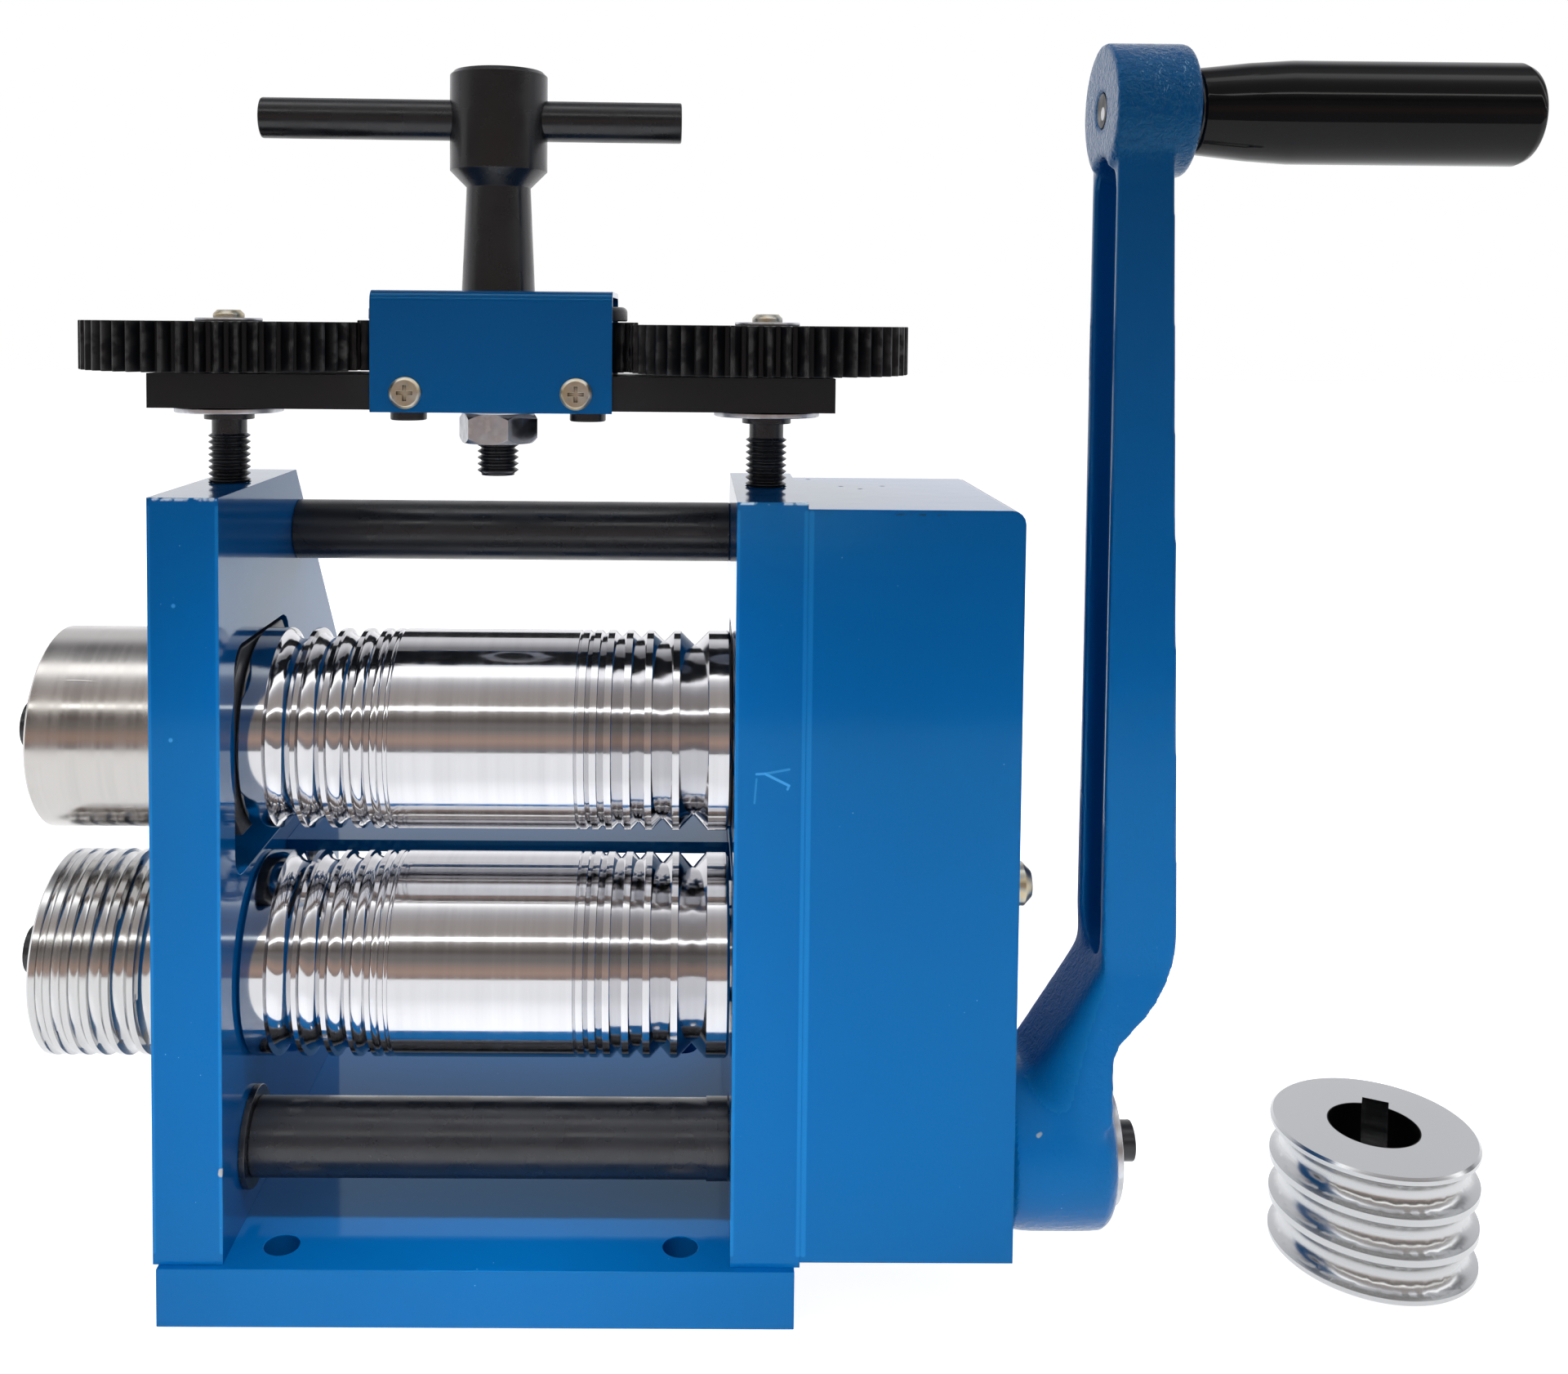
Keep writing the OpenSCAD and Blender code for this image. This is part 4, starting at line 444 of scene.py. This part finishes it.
def dress(name, material, edge_mm, steps):
    """Material, flat faces joined, then rounded edges, or plain sharp ones where no width is given."""
    piece = paint_over(name, material)
    for face in piece.data.polygons:
        face.use_smooth = True
    weld = piece.modifiers.new("weld", "WELD")
    weld.merge_threshold = WELD_WITHIN
    flats = piece.modifiers.new("flats", "DECIMATE")
    flats.decimate_type = "DISSOLVE"
    flats.angle_limit = FLAT_ANGLE
    if edge_mm:
        edge = piece.modifiers.new("edge", "BEVEL")
        edge.width = edge_mm * MM
        edge.segments = steps
        edge.limit_method = "ANGLE"
        edge.angle_limit = SHARP_ANGLE
    else:
        split = piece.modifiers.new("split", "EDGE_SPLIT")
        split.split_angle = SHARP_ANGLE
    even = piece.modifiers.new("even", "WEIGHTED_NORMAL")
    even.weight = 100
    even.keep_sharp = True


for node_name, (material, edge_mm, steps) in DRESS.items():
    dress(node_name, material, edge_mm, steps)

# The crank arm is a casting: its sharp edges and inner corners are rounded together
arm = paint_over("crank_arm", CAST)
grown = arm.modifiers.new("cast", "REMESH")
grown.mode = "VOXEL"
grown.voxel_size = 0.6 * MM
grown.use_smooth_shade = True
soften = arm.modifiers.new("soften", "SMOOTH")
soften.factor = 0.5
soften.iterations = 7
FOOT_HEIGHT = (84, 72)
HUB_WIDTH = 24.5
BLUR_STEPS = 45


def blur_foot(piece, hub_x):
    """Blends the hub's round into the slanted foot, as on a casting, from the hub's left side in mm on."""
    group = bpy.data.node_groups.new("blur_foot", "GeometryNodeTree")
    for way in ("INPUT", "OUTPUT"):
        group.interface.new_socket("Geometry", in_out=way, socket_type="NodeSocketGeometry")
    start = group.nodes.new("NodeGroupInput")
    end = group.nodes.new("NodeGroupOutput")
    where = group.nodes.new("GeometryNodeInputPosition").outputs[0]
    split = group.nodes.new("ShaderNodeSeparateXYZ")
    group.links.new(where, split.inputs[0])
    weight = None
    hub_end = hub_x + HUB_WIDTH
    # Only the foot is blended: the blade above it and both ends of the hub keep their shapes
    for axis, low, high in ((2, *FOOT_HEIGHT), (0, hub_x + 1, hub_x + 4), (0, hub_end - 3, hub_end - 7)):
        span = group.nodes.new("ShaderNodeMapRange")
        span.interpolation_type = "SMOOTHSTEP"
        span.inputs["From Min"].default_value = low * MM
        span.inputs["From Max"].default_value = high * MM
        group.links.new(split.outputs[axis], span.inputs["Value"])
        if weight is None:
            weight = span.outputs["Result"]
            continue
        product = group.nodes.new("ShaderNodeMath")
        product.operation = "MULTIPLY"
        group.links.new(weight, product.inputs[0])
        group.links.new(span.outputs["Result"], product.inputs[1])
        weight = product.outputs[0]
    blur = group.nodes.new("GeometryNodeBlurAttribute")
    blur.data_type = "FLOAT_VECTOR"
    blur.inputs["Iterations"].default_value = BLUR_STEPS
    value = next(socket for socket in blur.inputs if socket.name == "Value" and socket.enabled)
    group.links.new(where, value)
    group.links.new(weight, blur.inputs["Weight"])
    blurred = next(socket for socket in blur.outputs if socket.enabled)
    move = group.nodes.new("GeometryNodeSetPosition")
    group.links.new(start.outputs[0], move.inputs["Geometry"])
    group.links.new(blurred, move.inputs["Position"])
    group.links.new(move.outputs[0], end.inputs[0])
    piece.modifiers.new("foot", "NODES").node_group = group


blur_foot(arm, box_mm("crank_arm")[0].x)

# Studio: white floor and backdrop for the camera, plain level light on the mill
# The white table ends a little in front of the mill, where the rolls mirror the darker room
FLOOR_FRONT = -0.56
FLOOR_REACH = 6
FLOOR_GLOW = (("Is Camera Ray", 0.92), ("Is Glossy Ray", 0.80), ("Is Transmission Ray", 0.92))


def studio_node(tree, kind, sources=(), **settings):
    """A node with its settings; a source is a socket to link or a plain value for the input in its place."""
    made = tree.nodes.new(kind)
    for key, value in settings.items():
        setattr(made, key, value)
    for socket, source in zip(made.inputs, sources):
        if isinstance(source, bpy.types.NodeSocket):
            tree.links.new(source, socket)
        else:
            socket.default_value = source
    return made


def studio_math(tree, operation, a, b):
    return studio_node(tree, "ShaderNodeMath", (a, b), operation=operation).outputs[0]


floor_mesh = bpy.data.meshes.new("floor")
corners = [(-FLOOR_REACH, FLOOR_FRONT, 0), (FLOOR_REACH, FLOOR_FRONT, 0),
           (FLOOR_REACH, FLOOR_REACH, 0), (-FLOOR_REACH, FLOOR_REACH, 0)]
floor_mesh.from_pydata(corners, [], [(0, 1, 2, 3)])
floor = bpy.data.objects.new("floor", floor_mesh)
bpy.context.scene.collection.objects.link(floor)
floor.location.z = -0.2 * MM
floor_material = bpy.data.materials.new("floor")
floor_material.use_nodes = True
floor_tree = floor_material.node_tree
floor_bsdf = floor_tree.nodes["Principled BSDF"]
floor_bsdf.inputs["Base Color"].default_value = (0.62, 0.62, 0.63, 1)
floor_bsdf.inputs["Roughness"].default_value = 0.8
floor_bsdf.inputs["Emission Color"].default_value = (1, 1, 1, 1)
floor_mesh.materials.append(floor_material)

# The floor's own light is for rays from the camera and for those that a mirror or a glass passes on
paths = studio_node(floor_tree, "ShaderNodeLightPath")
glow = [studio_math(floor_tree, "MULTIPLY", paths.outputs[name], share) for name, share in FLOOR_GLOW]
strength = studio_math(floor_tree, "MAXIMUM", studio_math(floor_tree, "MAXIMUM", *glow[:2]), glow[2])
floor_tree.links.new(strength, floor_bsdf.inputs["Emission Strength"])

world = bpy.data.worlds.new("studio")
bpy.context.scene.world = world
world.use_nodes = True
tree = world.node_tree
tree.nodes.clear()
direction = studio_node(tree, "ShaderNodeTexCoord").outputs["Generated"]
split = studio_node(tree, "ShaderNodeSeparateXYZ", (direction,))
towards = studio_math(tree, "MULTIPLY", split.outputs["Y"], -1)
angle = studio_math(tree, "ARCTAN2", split.outputs["Z"], towards)
part = studio_node(tree, "ShaderNodeMapRange", (angle, -math.pi / 2, math.pi))
room = studio_node(tree, "ShaderNodeValToRGB", (part.outputs[0],))
# What the mill mirrors, by degrees: 0 is the horizon behind the camera, 90 the top, 180 behind the mill
STOPS = [(-90, (0.26, 0.25, 0.26)), (-11, (0.26, 0.25, 0.26)), (-5.6, (0.36, 0.27, 0.24)),
         (-1, (0.48, 0.34, 0.28)), (3.6, (0.42, 0.30, 0.25)), (8.2, (0.31, 0.26, 0.24)),
         (12.8, (0.21, 0.20, 0.19)), (17.4, (0.22, 0.20, 0.19)), (22, (0.13, 0.11, 0.105)),
         (26.6, (0.20, 0.175, 0.165)), (32.5, (0.40, 0.37, 0.35)), (33.6, (0.6, 0.6, 0.6)),
         (34.2, (3.6, 3.6, 3.5)), (37.2, (3.6, 3.6, 3.5)), (37.8, (0.6, 0.57, 0.55)),
         (39.5, (0.46, 0.42, 0.40)), (45, (0.41, 0.37, 0.35)), (55, (0.43, 0.39, 0.38)),
         (62, (0.49, 0.47, 0.48)), (66, (0.60, 0.59, 0.60)), (71, (0.85, 0.84, 0.85)), (75, (1.5, 1.5, 1.5)),
         (77, (1.9, 1.9, 1.9)), (86, (1.9, 1.9, 1.9)), (91, (0.55, 0.55, 0.56)), (99, (0.38, 0.38, 0.39)),
         (111, (0.20, 0.20, 0.21)), (118, (0.25, 0.25, 0.26)), (125, (0.50, 0.50, 0.52)),
         (134, (0.80, 0.80, 0.82)), (155, (0.80, 0.80, 0.82)), (172, (1.1, 1.1, 1.12))]
ramp = room.color_ramp
for i, (degrees, value) in enumerate(STOPS):
    place = (degrees + 90) / 270
    stop = ramp.elements[i] if i < 2 else ramp.elements.new(place)
    stop.position = place
    stop.color = (*value, 1)
plain = studio_node(tree, "ShaderNodeBackground", ((0.92, 0.95, 1.0, 1), 0.22))
white = studio_node(tree, "ShaderNodeBackground", ((1, 1, 1, 1), 1.0))
mirrored = studio_node(tree, "ShaderNodeBackground", (room.outputs["Color"],))
paths = studio_node(tree, "ShaderNodeLightPath")
by_gloss = studio_node(tree, "ShaderNodeMixShader",
                       (paths.outputs["Is Glossy Ray"], plain.outputs[0], mirrored.outputs[0]))
direct = studio_math(tree, "MAXIMUM", paths.outputs["Is Camera Ray"], paths.outputs["Is Transmission Ray"])
by_camera = studio_node(tree, "ShaderNodeMixShader", (direct, by_gloss.outputs[0], white.outputs[0]))
studio_node(tree, "ShaderNodeOutputWorld", (by_camera.outputs[0],))


def lamp(name, place, target, size, power, spread=180):
    """Area lamp that nothing mirrors: the rolls mirror the world's bright strips, and none shows twice."""
    data = bpy.data.lights.new(name, "AREA")
    data.spread = math.radians(spread)
    data.shape = "RECTANGLE"
    data.size, data.size_y = size
    data.energy = power
    made = bpy.data.objects.new(name, data)
    made.location = place
    made.rotation_mode = "QUATERNION"
    made.rotation_quaternion = (Vector(target) - Vector(place)).to_track_quat("-Z", "Y")
    made.visible_glossy = False
    bpy.context.scene.collection.objects.link(made)


MIDDLE = (0.03, -0.02, 0.12)
lamp("key", (-0.55, -0.75, 0.85), MIDDLE, (0.6, 0.4), 0.75)
lamp("fill", (0.85, -0.60, 0.50), MIDDLE, (0.5, 0.5), 0.25)
lamp("top", (0.05, 0.10, 1.05), MIDDLE, (0.7, 0.3), 2.1)
lamp("back", (0.35, 0.95, 0.60), MIDDLE, (0.8, 0.5), 3.4)
lamp("left", (-1.0, 0.15, 0.45), MIDDLE, (0.5, 0.5), 1.3)
lamp("right", (1.1, 0.20, 0.45), MIDDLE, (0.5, 0.5), 1.0)
# A long low lamp, well outside the crank's sweep
lamp("low", (0.03, -1.20, 0.055), (0.03, -0.02, 0.06), (0.66, 0.02), 0.33, 21)
lamp("base", (0, -0.11, 0.26), (0, -0.052, 0.013), (0.08, 0.02), 0.045, 50)

# Camera at the photograph's place: fitted in pixels, millimetres and degrees
WIDTH, HEIGHT = 1920, 1682
FOCAL, CENTRE_X, CENTRE_Y = 1855.0, 861.3, 484.7
EYE = Vector((46.33, -380.86, 221.64)) * MM
SENSOR = 36
PITCH, YAW, ROLL_ANGLE = map(math.radians, (2.724, 0.379, -0.502))
forward = Vector((math.sin(YAW) * math.cos(PITCH), math.cos(YAW) * math.cos(PITCH), -math.sin(PITCH)))
right = Vector((math.cos(YAW), -math.sin(YAW), 0))
down = forward.cross(right)
right_turned = right * math.cos(ROLL_ANGLE) + down * math.sin(ROLL_ANGLE)
down_turned = -right * math.sin(ROLL_ANGLE) + down * math.cos(ROLL_ANGLE)
camera_data = bpy.data.cameras.new("camera")
camera_data.lens = FOCAL * SENSOR / WIDTH
camera_data.sensor_width = SENSOR
camera_data.shift_x = (WIDTH / 2 - CENTRE_X) / WIDTH
camera_data.shift_y = (CENTRE_Y - HEIGHT / 2) / WIDTH
camera_data.clip_start = 0.02
camera = bpy.data.objects.new("camera", camera_data)
turned = Matrix((right_turned, -down_turned, -forward)).transposed().to_4x4()
camera.matrix_world = Matrix.Translation(EYE) @ turned
bpy.context.scene.collection.objects.link(camera)
bpy.context.scene.camera = camera
bpy.context.scene.view_settings.view_transform = "Standard"
